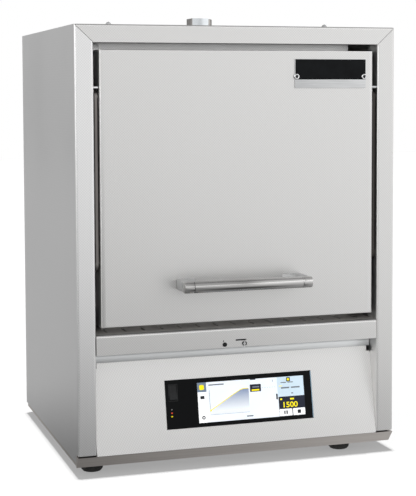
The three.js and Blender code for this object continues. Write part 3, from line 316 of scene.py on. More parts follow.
# the deck and the vent under the door take a paler, half-diffuse steel: painted light in the gap's shade
litDeckSteel = brushedStainless("paintedLightDeckStainless", "#D6D2CE", "#E4E1DE", (20, 700, 700), 0.5, 0.5)
# the right arms take a darker copy of the arms' steel: painted shade in the gap on the right
shadedArm = brushedStainless("paintedShadeArmStainless", "#3A3836", "#484543", (700, 700, 18), 0.4)
armSteel = brushedStainless("darkArmStainless", "#6E6B69", "#85827F", (700, 700, 18), 0.38)
finishes = {  # by the record's material slot
    "textured_steel": steelSheet,
    "brushed_steel": innerSteel,
    "polished_steel": brightSteel,
    "dark_steel": powderCoat("blackPowderCoat", "#141413", "#1F1F1E"),
    "black_glass": coverGlass(),
    "screen": litScreen("litDisplayPage", "#E6EEF6", "#F6FAFD", 0.25),
    "black_plastic": mouldedPlastic("mouldedBlackAbs", "#121314", "#1D1E20"),
    "rubber": nitrileRubber(),
    "fibre_board": fibreBoard(),
    "ceramic": firedCeramic(),
    "heating_element": molybdenumDisilicide(),
    "aluminium": extrudedAluminium(),
    "door_plate": stoveEnamel("blackStoveEnamel", "#07080A", "#101214"),
}
ownFinish = {  # nodes that look other than the rest of their slot
    "base_tray": traySteel,
    # the left side and the front plate take the paler copy: painted light
    "left_side_shell": paintedLightSheet,
    "front_plate": paintedLightSheet,
    # the deck and the vent take the paler steel: painted light
    "deck_plate": litDeckSteel,
    "intake_vent": litDeckSteel,
    "left_upper_arm": armSteel,
    "left_lower_arm": armSteel,
    # the right arms take the darker copy: painted shade
    "right_upper_arm": shadedArm,
    "right_lower_arm": shadedArm,
}
for part in frame["record"]["subparts"]:
    slots = nodes[part["node"]].data.materials
    slots.clear()
    slots.append(ownFinish.get(part["node"], finishes[part["material_slot"]]))

print("materials made")

# modelling helpers


def clearSelection():
    if bpy.context.object and bpy.context.object.mode != "OBJECT":
        bpy.ops.object.mode_set(mode="OBJECT")
    bpy.ops.object.select_all(action="DESELECT")


def choose(piece):
    clearSelection()
    piece.select_set(True)
    bpy.context.view_layer.objects.active = piece


def editStart(piece):
    choose(piece)
    bpy.ops.object.mode_set(mode="EDIT")


def editAll(piece):
    editStart(piece)
    bpy.ops.mesh.select_all(action="SELECT")


def editEnd():
    bpy.ops.object.mode_set(mode="OBJECT")


def facesOutwards():
    bpy.ops.mesh.select_all(action="SELECT")
    bpy.ops.mesh.normals_make_consistent(inside=False)


def pushOut(distance):
    bpy.ops.mesh.extrude_region_move(TRANSFORM_OT_translate={"value": (0, 0, distance)})


def pick(piece, kind, test):
    # selects faces by a test of their middle and normal, or edges by a test of their two ends
    bpy.ops.mesh.select_mode(type=kind)
    bpy.ops.mesh.select_all(action="DESELECT")
    mesh = bmesh.from_edit_mesh(piece.data)
    if kind == "FACE":
        for face in mesh.faces:
            face.select_set(test(face.calc_center_median(), face.normal))
    else:
        for edge in mesh.edges:
            edge.select_set(test(*(corner.co for corner in edge.verts)))
    mesh.select_flush_mode()
    bmesh.update_edit_mesh(piece.data)


def place(piece, matrix=None):
    # puts a piece's place into its mesh, so that the object itself stays at the origin
    clearSelection()
    if matrix:
        piece.data.transform(matrix)
    choose(piece)
    bpy.ops.object.transform_apply(location=True, rotation=True, scale=True)


def finishPiece(piece, name, material, body, smooth=30):
    # names and shades a piece, and says what it moves with and whose finish it takes
    choose(piece)
    piece.name = piece.data.name = name
    piece.data.materials.clear()
    piece.data.materials.append(material)
    bpy.ops.object.shade_smooth_by_angle(angle=math.radians(smooth))
    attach(piece, body)
    clearSelection()


def joined(pieces):
    clearSelection()
    for piece in pieces:
        piece.select_set(True)
    bpy.context.view_layer.objects.active = pieces[0]
    bpy.ops.object.join()
    return pieces[0]


def thicken(piece, depth):
    # raises a flat piece into a solid one
    editAll(piece)
    pushOut(depth)
    facesOutwards()
    editEnd()


def roundedTile(size, corner, depth, edge=0.0):
    # a flat tile with round corners, standing on its back face at z = 0
    clearSelection()
    bpy.ops.mesh.primitive_plane_add(size=1)
    tile = bpy.context.object
    tile.scale = (*size, 1)
    place(tile)
    if corner:
        editAll(tile)
        bpy.ops.mesh.bevel(offset=corner, segments=4, affect="VERTICES")
    thicken(tile, depth)
    if edge:
        editStart(tile)
        pick(tile, "EDGE", lambda a, b: a.z > depth * 0.9 and b.z > depth * 0.9)
        bpy.ops.mesh.bevel(offset=edge, segments=2)
        editEnd()
    return tile


def flatPiece(outline, depth, foot=0.0):
    # a flat piece with this outline of [x, y] points, standing on z = foot
    clearSelection()
    bpy.ops.mesh.primitive_circle_add(vertices=len(outline), radius=1, fill_type="NGON")
    piece = bpy.context.object
    for corner, (x, y) in zip(piece.data.vertices, outline):
        corner.co = (x, y, foot)
    thicken(piece, depth)
    return piece


def cuboid(size):
    # a block about the origin, whose edges are bevelled by whoever asks for it
    clearSelection()
    bpy.ops.mesh.primitive_cube_add(size=1)
    piece = bpy.context.object
    piece.scale = size
    place(piece)
    return piece


def sheetStrip(size, edge):
    strip = cuboid(size)
    editAll(strip)
    bpy.ops.mesh.bevel(offset=edge, segments=2)
    editEnd()
    return strip


def revolve(profile, steps=32):
    # a turned piece from [radius, height] points, about Z
    clearSelection()
    bpy.ops.mesh.primitive_circle_add(vertices=len(profile), radius=1)
    piece = bpy.context.object
    for corner, (radius, height) in zip(piece.data.vertices, profile):
        corner.co = (radius, 0, height)
    editAll(piece)
    bpy.ops.mesh.spin(steps=steps, angle=2 * math.pi, center=(0, 0, 0), axis=(0, 0, 1))
    bpy.ops.mesh.select_all(action="SELECT")
    bpy.ops.mesh.remove_doubles(threshold=1e-6)
    bpy.ops.mesh.dissolve_degenerate()
    facesOutwards()
    editEnd()
    return piece


def rodProfile(radius, length, start, end):
    # outline of a solid rod; each end is a list of points in mm, inwards from its side and along it
    return [
        (0, 0),
        *((radius - inward * mm, along * mm) for inward, along in start),
        *((radius - inward * mm, length - along * mm) for inward, along in reversed(end)),
        (0, length),
    ]


def curvePoint(corners, t):
    # a point on the Bezier curve with these four corners
    shares = ((1 - t) ** 3, 3 * t * (1 - t) ** 2, 3 * t * t * (1 - t), t ** 3)
    return tuple(sum(share * corner[i] for share, corner in zip(shares, corners)) for i in (0, 1))


# turns a piece's flat face from +Z to the front, -Y
toFront = Matrix.Rotation(quarterTurn, 4, "X")


# plate on the door


def doorPlate():
    plate = {
        "width": 89 * mm,
        "height": 33.6 * mm,
        "thickness": 0.8 * mm,
        "edge": 0.2 * mm,
        "corner": 0.5 * mm,
        "darkHeight": 23.4 * mm,  # black field, over a bare strip
        "fieldInset": 0.7 * mm,
        "fieldLift": 0.12 * mm,
        "eyeletRadius": 3.3 * mm,
        "eyeletBore": 1.6 * mm,
        "eyeletLift": 0.95 * mm,
        "eyeletProud": 0.9 * mm,  # how far the node's eyelets stand out from its sheet
        "eyeletInset": 2.7 * mm,
        "eyeletDrop": 20.4 * mm,
        "boreShadeDepths": (0.1 * mm, 0.2 * mm),  # a dark disc in an eyelet's bore: painted shade
    }
    low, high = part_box("door_plate")
    front = low.y + plate["eyeletProud"]
    middle = Vector(((low.x + high.x) / 2, front + plate["thickness"], (low.z + high.z) / 2))
    sheet = roundedTile(
        (plate["width"], plate["height"]), plate["corner"], plate["thickness"], plate["edge"])
    place(sheet, Matrix.Translation(middle) @ toFront)
    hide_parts("door_plate")
    nickel = brushedStainless("satinNickelPlate", "#C4C5C6", "#D6D7D8", (30, 900, 900), 0.35)
    finishPiece(sheet, "doorPlateSheet", nickel, "door")

    field = roundedTile(
        (plate["width"] - plate["fieldInset"], plate["darkHeight"]), plate["corner"], plate["fieldLift"])
    fieldTop = high.z - plate["darkHeight"] / 2 - plate["fieldInset"] / 2
    place(field, Matrix.Translation((middle.x, front, fieldTop)) @ toFront)
    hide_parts("door_plate")
    finishPiece(field, "doorPlateField", finishes["door_plate"], "door")

    outer, bore, lift = plate["eyeletRadius"], plate["eyeletBore"], plate["eyeletLift"]
    collar = [
        (bore, 0), (outer, 0), (outer, lift * 0.35), (outer * 0.93, lift * 0.75),
        (outer * 0.78, lift), (outer * 0.64, lift * 0.93), (bore * 1.05, lift * 0.55),
        (bore, lift * 0.3),
    ]
    near, far = plate["boreShadeDepths"]
    inside = bore * 0.999
    for side, x in (("Left", low.x + plate["eyeletInset"]), ("Right", high.x - plate["eyeletInset"])):
        spot = Matrix.Translation((x, front, high.z - plate["eyeletDrop"])) @ toFront
        eyelet = revolve(collar)
        place(eyelet, spot)
        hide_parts("door_plate")
        finishPiece(eyelet, "plateEyelet" + side, brightSteel, "door", 50)
        # a dark disc down in the bore: painted shade
        boreShade = revolve([(0, far), (inside, far), (inside, near), (0, near)], 16)
        place(boreShade, spot)
        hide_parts("door_plate")
        finishPiece(boreShade, "plateEyeletHole" + side, finishes["black_plastic"], "door")
    print("door plate done")


# handle


def handle():
    look = {
        "radius": 6.5 * mm,
        "reach": 32 * mm,
        "left": -78.1 * mm,
        "length": 152.2 * mm,
        "head": 11.2 * mm,
        "groove": 0.25 * mm,
        "front": -147.65 * mm,  # the door's face
        "tubeEnd": [(0.5, 0), (0.15, 0.12), (0, 0.45)],  # rounded ends, as rodProfile takes them
        "capOutside": [(0.9, 0), (0.3, 0.25), (0, 0.9)],
        "capInside": [(0.3, 0), (0, 0.3)],
        "steps": 64,
    }
    neckLook = {
        "height": 11.8 * mm,
        "outside": 0.6 * mm,  # its outer side, in from the cap's end
        "inside": 1.2 * mm,  # its inner side, in from the cap's inner end
        "buried": 2 * mm,  # how far it stops short of the tube's axis
        "flare": 13 * mm,
        "gap": 0.3 * mm,  # between its foot and the door
        "shares": (0.75, 0.4, 0.22),  # of the reach, where the inner side's curve has its corners
        "steps": 8,
        "edge": 0.9 * mm,
    }
    low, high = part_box("handle_bar")
    middle = (low.z + high.z) / 2
    reach, radius, head = look["reach"], look["radius"], look["head"]
    axis = look["front"] - reach
    left, right = look["left"], look["left"] + look["length"]

    bare = look["length"] - 2 * (head + look["groove"])
    tube = revolve(rodProfile(radius, bare, look["tubeEnd"], look["tubeEnd"]), look["steps"])
    start = Matrix.Translation((left + head + look["groove"], axis, middle))
    place(tube, start @ Matrix.Rotation(quarterTurn, 4, "Y"))
    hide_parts("handle_bar")
    finishPiece(tube, "handleTube", tubeSteel, "door", 40)

    for side, end, inward in (("left", left, 1), ("right", right, -1)):
        cap = revolve(rodProfile(radius, head, look["capOutside"], look["capInside"]), look["steps"])
        turned = Matrix.Rotation(inward * quarterTurn, 4, "Y")
        place(cap, Matrix.Translation((end, axis, middle)) @ turned)
        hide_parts("handle_post_" + side)
        finishPiece(cap, side + "HandleCap", tubeSteel, "door", 40)

        # the neck runs back from the cap and flares inwards where it meets the door
        tip = -reach + neckLook["buried"]
        inner = head - neckLook["inside"]
        first, second, third = (-reach * share for share in neckLook["shares"])
        corners = (
            (inner, first), (inner, second), (head, third), (head + neckLook["flare"], -neckLook["gap"]))
        steps = neckLook["steps"]
        inside = [curvePoint(corners, step / steps) for step in range(steps + 1)]
        outer = neckLook["outside"]
        outline = [(outer, -neckLook["gap"]), (outer, tip), (inner, tip)] + inside
        neck = flatPiece(
            [(end + inward * x, look["front"] + y) for x, y in outline],
            neckLook["height"], middle - neckLook["height"] / 2)
        soften = neck.modifiers.new("softEdges", "BEVEL")
        soften.width = neckLook["edge"]
        soften.segments = 2
        soften.limit_method = "ANGLE"
        soften.angle_limit = math.radians(35)
        bpy.ops.object.modifier_apply(modifier=soften.name)
        place(neck)
        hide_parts("handle_post_" + side)
        finishPiece(neck, side + "HandleNeck", castSteel, "door", 40)
    print("handle done")


# marks on the crossbar, with painted shade at the lock's sides


def arcTile(inner, outer, start, sweep, depth):
    # a flat piece of a ring, from start through sweep degrees
    steps = 12
    rim = [(outer, step) for step in range(steps + 1)]
    rim += [(inner, steps - step) for step in range(steps + 1)]
    outline = []
    for radius, step in rim:
        angle = math.radians(start + sweep * step / steps)
        outline.append((radius * math.cos(angle), radius * math.sin(angle)))
    return flatPiece(outline, depth)


def crossbarMarks():
    mark = {
        "arcInner": 1.55 * mm,
        "arcOuter": 2.75 * mm,
        "arcSweep": 126,
        "lift": 0.12 * mm,
        "lockX": 4 * mm,
        "lockRise": 3.8 * mm,  # above the crossbar's lower edge, as the next two are
        "slotPlace": (-0.6 * mm, 8.3 * mm),
        "pinPlace": (-21.4 * mm, 8 * mm),
        "slot": (12 * mm, 1.7 * mm),
        "slotCorner": 0.3 * mm,
        "pin": [(0, 0), (0.7 * mm, 0), (0.7 * mm, 0.08 * mm), (0.5 * mm, 0.15 * mm), (0, 0.18 * mm)],
    }
    black = finishes["black_plastic"]
    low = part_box("crossbar")[0]
    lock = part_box("door_lock_screw")[0]
    sweep = mark["arcSweep"]
    # two black arcs at the lock's sides: painted shade
    for side, turn in (("Right", 0), ("Left", 180)):
        arc = arcTile(mark["arcInner"], mark["arcOuter"], turn - sweep / 2, sweep, mark["lift"])
        place(arc, Matrix.Translation((mark["lockX"], lock.y, low.z + mark["lockRise"])) @ toFront)
        finishPiece(arc, "lockArc" + side, black, "door_lock")
    slot = roundedTile(mark["slot"], mark["slotCorner"], mark["lift"])
    x, rise = mark["slotPlace"]
    place(slot, Matrix.Translation((x, low.y, low.z + rise)) @ toFront)
    finishPiece(slot, "latchSlotSeal", black, "housing")
    dot = revolve(mark["pin"], 16)
    x, rise = mark["pinPlace"]
    place(dot, Matrix.Translation((x, low.y, low.z + rise)) @ toFront)
    finishPiece(dot, "crossbarPin", black, "housing", 50)
    print("crossbar done")


# sheet-metal details


def foldStrip():
    # the panel's upper fold leans back a little, so it mirrors the bright room
    fold = {
        "proud": 1.6 * mm,
        "sheet": 0.6 * mm,
        "drop": 12 * mm,
        "open": 3.1 * mm,  # how far below the crossbar its top is
        "reach": 170 * mm,
        "edge": 0.25 * mm,
        "back": 20.4 * mm,  # from the panel's foremost point to this fold
    }
    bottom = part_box("crossbar")[0].z - fold["drop"]
    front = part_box("control_panel")[0].y + fold["back"]
    tall = fold["drop"] - fold["open"]
    strip = sheetStrip((2 * fold["reach"], fold["sheet"], tall), fold["edge"])
    lean = math.atan2(fold["proud"] - fold["sheet"], fold["drop"])
    middle = Vector((0, front - fold["proud"] / 2, bottom + tall / 2))
    place(strip, Matrix.Translation(middle) @ Matrix.Rotation(-lean, 4, "X"))
    # the strip is paler than the panel around it: painted light
    finishPiece(strip, "panelFoldStrip", litFoldSteel, "housing")
    print("panel fold done")


def exhaustOutlet():
    # a square sheet-metal duct with a round bleed pipe at its side, through the roof's hole
    duct = {
        "wide": 21 * mm,
        "deep": 25 * mm,
        "across": -2.9 * mm,
        "wall": 1.5 * mm,
        "depth": 12 * mm,  # how deep the open tops are
        "edge": 0.5 * mm,
    }
    tube = {
        "radius": 8 * mm,
        "bore": 6.6 * mm,
        "place": (7 * mm, -1 * mm),
        "lower": 0.8 * mm,  # than the duct
        "rim": [(0, 0.8), (0.3, 0.2), (0.6, 0)],  # in mm, inwards and below its top
    }
    low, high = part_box("exhaust_stub")
    middle = (low + high) / 2
    height = high.z - low.z
    box = cuboid((duct["wide"], duct["deep"], height))
    editStart(box)
    pick(box, "EDGE", lambda a, b: abs(a.z - b.z) > height * 0.9)
    bpy.ops.mesh.bevel(offset=duct["edge"], segments=2)
    pick(box, "FACE", lambda spot, normal: normal.z > 0.9)
    bpy.ops.mesh.inset(thickness=duct["wall"])
    pushOut(-duct["depth"])
    editEnd()
    place(box, Matrix.Translation(middle + Vector((duct["across"], 0, 0))))
    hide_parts("exhaust_stub")
    finishPiece(box, "exhaustDuct", litDuctSteel, "housing")
    # faces towards either side take the dark copy: painted shade
    box.data.materials.append(shadedDuctSide)
    for face in box.data.polygons:
        if abs(face.normal.x) > 0.9:
            face.material_index = 1

    radius, bore = tube["radius"], tube["bore"]
    top = height - tube["lower"]
    floor = top - duct["depth"]
    rim = [(radius - inward * mm, top - below * mm) for inward, below in tube["rim"]]
    pipe = revolve([(0, 0), (radius, 0), *rim, (bore, top), (bore, floor), (0, floor)], 40)
    x, y = tube["place"]
    place(pipe, Matrix.Translation((middle.x + x, middle.y + y, low.z)))
    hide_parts("exhaust_stub")
    # the pipe takes the dark copy as well: painted shade
    finishPiece(pipe, "bleedPipe", shadedDuctSide, "housing", 40)
    print("exhaust outlet done")


def stopPins():
    # bright pins in the pivot brackets, seen in the gaps beside the door
    pin = {
        "radius": 1.7 * mm,
        "inner": 165.3 * mm,
        "outer": 176.5 * mm,
        "height": 437.1 * mm,
        "back": 4.6 * mm,  # behind the door's face
        "end": [(0.7, 0), (0.2, 0.15), (0, 0.6)],
    }
    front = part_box("door_shell")[0].y
    length = pin["outer"] - pin["inner"]
    for side, turn in (("left", -1), ("right", 1)):
        stop = revolve(rodProfile(pin["radius"], length, [(0, 0)], pin["end"]), 24)
        spot = Matrix.Translation((turn * pin["outer"], front + pin["back"], pin["height"]))
        place(stop, spot @ Matrix.Rotation(-turn * quarterTurn, 4, "Y"))
        finishPiece(stop, side + "StopPin", brightSteel, "housing", 50)
    print("stop pins done")


def plateEnd():
    # the front plate runs on behind the left post, above the arm's bracket
    end = {"left": -176 * mm, "above": 1.2 * mm, "gap": 0.05 * mm, "edge": 0.2 * mm}
    low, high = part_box("front_plate")
    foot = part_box("left_pivot_bracket")[1].z + end["above"]
    right = low.x - end["gap"]
    plate = sheetStrip((right - end["left"], high.y - low.y, high.z - foot), end["edge"])
    middle = ((right + end["left"]) / 2, (low.y + high.y) / 2, (high.z + foot) / 2)
    place(plate, Matrix.Translation(middle))
    # it takes the paler copy of the sheet: painted light in the gap beside the door
    finishPiece(plate, "frontPlateEnd", paintedLightSheet, "housing")
    print("front plate done")


def doorSheet():
    # the door's folded sheet with its side edges bent round, as its top and bottom ones are
    bend = {
        "radius": 3.2 * mm,
        "steps": 4,
        "merge": 0.001 * mm,
        "close": 0.01 * mm,
        "sideAt": 160 * mm,  # the side edges lie further out than this
        "longest": 100 * mm,  # and are longer than this
    }
    sheet = bpy.data.objects.new("doorSheet", nodes["door_shell"].data.copy())
    bpy.context.scene.collection.objects.link(sheet)
    editAll(sheet)
    bpy.ops.mesh.remove_doubles(threshold=bend["merge"])
    bpy.ops.mesh.dissolve_limited(angle_limit=math.radians(0.5))
    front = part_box("door_shell")[0].y + bend["close"]
    pick(sheet, "EDGE", lambda a, b: (
        abs(a.x - b.x) < bend["close"] and abs(a.x) > bend["sideAt"]
        and max(a.y, b.y) < front and abs(a.z - b.z) > bend["longest"]))
    bpy.ops.mesh.bevel(offset=bend["radius"], segments=bend["steps"])
    editEnd()
    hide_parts("door_shell")
    finishPiece(sheet, "doorSheet", steelSheet, "door", 35)
    even = sheet.modifiers.new("evenShading", "WEIGHTED_NORMAL")  # keeps the large faces flat
    even.weight = 100
    even.keep_sharp = True
    bpy.context.view_layer.objects.active = sheet
    bpy.ops.object.modifier_apply(modifier=even.name)
    print("door sheet done,", len(sheet.data.polygons), "faces")


# the controller's face; heights and widths on it are in mm, from its foot and its middle

face = {
    "tilt": math.radians(11.3207),
    "foot": 23.9 * mm,  # height of the panel's lower edge
    "front": -147.65 * mm,
    "screenOut": 0.2 * mm,
    "glassOut": 0.5 * mm,
}
curve = [(-34.3, 41.2), (-20, 49.6), (-6, 57.8), (2.5, 62.4), (6.5, 63.6), (13.2, 63.6)]
curveFoot = 36
yellow = litScreen("litYellow", "#F0DC00", "#FFEC14", 0.35)


def onFace(x, height, proud):
    tilt = face["tilt"]
    up = Vector((0, math.sin(tilt), math.cos(tilt)))
    out = Vector((0, -math.cos(tilt), math.sin(tilt)))
    foot = Vector((x * mm, face["front"], face["foot"]))
    return Matrix.Translation(foot + up * height * mm + out * proud) @ Matrix((
        (1, up.x, out.x, 0), (0, up.y, out.y, 0), (0, up.z, out.z, 0), (0, 0, 0, 1)))


def layerOut(layer):
    return face["screenOut"] + (layer - 1) * thin * mm


def tile(box, corner=0.0, layer=1):
    left, right, low, high = box
    piece = roundedTile(((right - left) * mm, (high - low) * mm), corner * mm, thin * mm)
    place(piece, onFace((left + right) / 2, (low + high) / 2, layerOut(layer)))
    return piece


def show(name, tiles, material):
    finishPiece(joined(tiles), name, material, "housing")


def screenPage():
    # each tile is left, right, low and high, then its corners' radius and its layer
    white = litScreen("litWhiteButton", "#F4F6F8", "#FFFFFF", 0.3)
    slate = litScreen("litSlate", "#6F8094", "#7D8DA0", 0.1)
    navy = litScreen("litNavy", "#141A2C", "#1A2136", 0.05)
    sky = litScreen("litSkyCell", "#C9DEEC", "#D6E7F2", 0.2)
    ink = litScreen("litInk", "#1B1E24", "#23272E")
    soft = litScreen("litSoftInk", "#737C86", "#828B95")

    show("screenIconColumn", [tile((-49.2, -38.5, 27.8, 62.6))], white)
    show("screenMenuCell", [tile((-49.2, -38.5, 62.9, 73.7))], slate)
    show("screenStatusCell", [tile((49, 82.2, 50.8, 73.7))], sky)
    show("screenValueCell", [
        tile((49.6, 82.2, 27.9, 50.7)), tile((46.9, 48.8, 47.8, 54.6), 0.5),
        tile((60.7, 65.5, 67.9, 72.7), 0.4, 2),
        tile((14.9, 28.6, 59, 67.5), 0.6), tile((15.6, 22.5, 72.6, 74), 0.5)], navy)
    show("screenButtons", [
        tile((49.9, 65.8, 28.2, 36.3), 0.5, 2), tile((66.9, 82, 28.2, 36.3), 0.5, 2)], white)
    show("screenYellowMarks", [
        tile((-46.9, -41.3, 65.4, 71), 1.2, 2), tile((61.8, 64.4, 69, 71.6), 0.3, 3),
        tile((51, 55, 62.8, 63.5), 0, 2), tile((51.5, 54, 46.9, 48.6), 0.3, 2),
        tile((17, 26.5, 60, 61.6), 0.3, 2), tile((64, 69, 46.6, 48.4), 0.3, 2)], yellow)
    gear = arcTile(1.0 * mm, 2.1 * mm, 0, 359, thin * mm)
    place(gear, onFace(-43.4, 33.6, layerOut(2)))
    show("screenIcons", [
        tile((55.6, 57.2, 30.2, 34.3), 0, 3), tile((58.3, 59.9, 30.2, 34.3), 0, 3),
        tile((72.5, 76.6, 30.2, 34.3), 0, 3), tile((-46.2, -41.3, 54.9, 58.4), 0.4, 2), gear], ink)

    # plain bars and thin marks
    bars = [
        (53.5, 60.5, 66.5, 67.5), (62, 69, 66.5, 67.5), (53.5, 64, 60, 61.6), (66, 77, 60, 61.6),
        (66, 68.4, 53.6, 54.8), (9, 17, 30.8, 32.2), (-35.6, -17, 69.6, 71)]
    show("screenDarkMarks", [tile(bar, 0, 2) for bar in bars], soft)
    lines = [
        (43.3, 43.8, 68.6, 71.4), (-35.2, -34.8, 39, 64.5), (-35, 13, 36, 36.3), (18, 26.5, 63.6, 65.2)]
    lines += [(x, x + 1.4, 62.6, 62.9) for x in range(30, 47, 3)]
    show("screenFineMarks", [tile(line, 0, 2) for line in lines], soft)
    print("controller page done")


def heatingCurve():
    # a filled area under a thin yellow line
    fade = litScreen("litCurveFill", "#F2F7FC", "#7388AE", 0.15, (64 * mm, 88 * mm))
    below = [(curve[-1][0], curveFoot), (curve[0][0], curveFoot)]
    area = flatPiece([(x * mm, height * mm) for x, height in curve + below], thin * mm)
    place(area, onFace(0, 0, layerOut(1)))
    finishPiece(area, "screenCurveFill", fade, "housing")

    clearSelection()
    bpy.ops.curve.primitive_bezier_curve_add()
    line = bpy.context.object
    line.data.splines.clear()
    spline = line.data.splines.new("POLY")
    spline.points.add(len(curve) - 1)
    for point, (x, height) in zip(spline.points, curve):
        point.co = (x * mm, height * mm, 0, 1)
    line.data.dimensions = "3D"
    line.data.bevel_depth = 0.4 * mm
    line.data.bevel_resolution = 1
    line.data.use_fill_caps = True
    choose(line)
    bpy.ops.object.convert(target="MESH")
    line = bpy.context.object
    line.data.transform(Matrix.Diagonal((1, 1, 0.12, 1)))  # flattened to a printed line
    place(line, onFace(0, 0, layerOut(2)))
    dot = tile((-35.4, -33.4, 40.2, 42.2), 0.7, 3)
    show("screenCurveLine", [line, dot], yellow)
    print("heating curve done")


def setTemperature():
    # a plain number
    number = {
        "text": "1500",
        "size": 8.8 * mm,
        "bold": 0.14 * mm,
        "widen": 1.12,
        "x": 63.4,
        "height": 38.1,
    }
    clearSelection()
    bpy.ops.object.text_add()
    digits = bpy.context.object
    digits.data.body = number["text"]
    digits.data.size = number["size"]
    digits.data.extrude = thin * mm / 2
    digits.data.offset = number["bold"]
    digits.data.align_x = "CENTER"
    bpy.ops.object.convert(target="MESH")
    digits = bpy.context.object
    digits.data.transform(Matrix.Diagonal((number["widen"], 1, 1, 1)))
    place(digits, onFace(number["x"], number["height"], layerOut(2.5)))
    finishPiece(digits, "screenNumber", yellow, "housing")


def glassEdge():
    # the cover glass's bare right edge, drawn as a flat pale blue strip: the glass's edge with a painted
    # highlight
    strip = {"size": (0.7 * mm, 54.4 * mm), "x": 91.7, "height": 51.1}
    edge = roundedTile(strip["size"], 0, thin * mm)
    place(edge, onFace(strip["x"], strip["height"], face["glassOut"]))
    blue = litScreen("paintedHighlightGlassEdge", "#86AAC4", "#9BBBD0")
    finishPiece(edge, "glassEdge", blue, "housing")


def statusLamps():
    # three lamps under one another, each a shallow dome
    lamps = {
        "x": -81.3,
        "radius": 0.85 * mm,
        "dome": [(1, 0.06), (0.8, 0.14), (0.45, 0.2), (0, 0.22)],  # share of the radius, height in mm
        "lenses": {  # darker and lighter colour, height, glow
            "Mains": ("#6A6A6A", "#7C7C7C", 45.5, 0.0),
            "Alarm": ("#C83A1E", "#E04A2A", 41.6, 0.3),
            "Warm": ("#D9C400", "#F0DC10", 37.7, 0.3),
        },
    }
    radius = lamps["radius"]
    dome = [(0, 0), (radius, 0)] + [(radius * share, rise * mm) for share, rise in lamps["dome"]]
    for name, (low, high, height, glow) in lamps["lenses"].items():
        lamp = revolve(dome, 20)
        place(lamp, onFace(lamps["x"], height, face["glassOut"]))
        lens = litScreen("tintedLens" + name, low, high, glow)
        finishPiece(lamp, "lampLens" + name, lens, "housing", 60)
    print("status lamps done")


def rockerFrame():
    # thin frame round the rocker switch
    frameLook = {
        "size": (11.2 * mm, 19.6 * mm),
        "corner": 0.8 * mm,
        "depth": 0.25 * mm,
        "wall": 0.7 * mm,
        "height": 64.6,
        "lift": 0.02 * mm,
    }
    low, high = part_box("mains_rocker")
    ring = roundedTile(frameLook["size"], frameLook["corner"], frameLook["depth"])
    editStart(ring)
    pick(ring, "FACE", lambda spot, normal: abs(normal.z) > 0.9)
    bpy.ops.mesh.inset(thickness=frameLook["wall"])
    bpy.ops.mesh.bridge_edge_loops(use_merge=False)
    editEnd()
    middle = (low.x + high.x) / 2 / mm
    place(ring, onFace(middle, frameLook["height"], face["glassOut"] + frameLook["lift"]))
    finishPiece(ring, "rockerFrame", finishes["black_plastic"], "housing")


def panelLips():
    # returns of the panel's sides, which close the seams beside the posts
    lipLook = {
        "width": 1.15 * mm,
        "length": 95.5 * mm,
        "depth": 1.2 * mm,
        "corner": 0.2 * mm,
        "x": 170.35,
        "height": 48.6,
        "proud": 0.05 * mm,
    }
    for side, turn in (("left", -1), ("right", 1)):
        lip = roundedTile((lipLook["width"], lipLook["length"]), lipLook["corner"], lipLook["depth"])
        sunk = lipLook["proud"] - lipLook["depth"]
        place(lip, onFace(turn * lipLook["x"], lipLook["height"], sunk))
        finishPiece(lip, side + "PanelLip", steelSheet, "housing")
    print("panel lips done")


doorPlate()
handle()
crossbarMarks()
foldStrip()
exhaustOutlet()
stopPins()
plateEnd()
doorSheet()
screenPage()
heatingCurve()
setTemperature()
glassEdge()
statusLamps()
rockerFrame()
panelLips()

# floor, light and camera

# a profile is a list of stops, each a place from 0 to 1 and the room's brightness there
light = {
    "sunPower": 14.0,  # on the floor alone
    "sunSpread": math.radians(1.2),
    "sunPath": (0, -0.004, -1),  # from straight above, for the shadow under the furnace
    "upward": [  # from the floor up, with one wide soft lamp
        (0.0, 0.8), (0.08, 0.99), (0.2, 0.94), (0.34, 0.86), (0.39, 1.9), (0.44, 1.9),
        (0.5, 0.8), (0.8, 0.66), (1.0, 0.62)],
    "around": [(0.0, 1.0), (0.38, 1.0), (0.5, 0.42), (0.75, 0.38), (1.0, 0.41)],  # front to back
    "across": [  # from left to right
        (0.0, 2.4), (0.04, 2.8), (0.2, 2.5), (0.3, 1.25), (0.4, 1.05), (0.565, 1.03),
        (0.65, 0.8), (0.73, 1.42), (0.92, 1.5), (1.0, 2.1)],
    "floorSize": 14,
    "floorShade": "#666666",
    "floorGlow": 0.33,
}
# what the metal mirrors of the floor: dark on the left, brighter away from there and behind
mirror = {
    "way": (1, -0.35, 0),
    "wayFrom": (-0.2, 0.9),
    "wayShades": (0.16, 0.95),
    "behindFrom": (-0.25, 0.35),
    "behindShade": 0.45,
    "handleShadowMiddle": (0.08, -0.35, 0),  # a painted shadow on the floor under the handle, which the camera doesn't see and its tube mirrors
    "handleShadowReach": (0.07, 0.19),
    "handleShadowLevel": 0.25,
}


def profile(tree, value, stops):
    ramp = addNode(tree, "ShaderNodeValToRGB", {0: value})
    return setStops(ramp, [(spot, (level, level, level, 1)) for spot, level in stops])


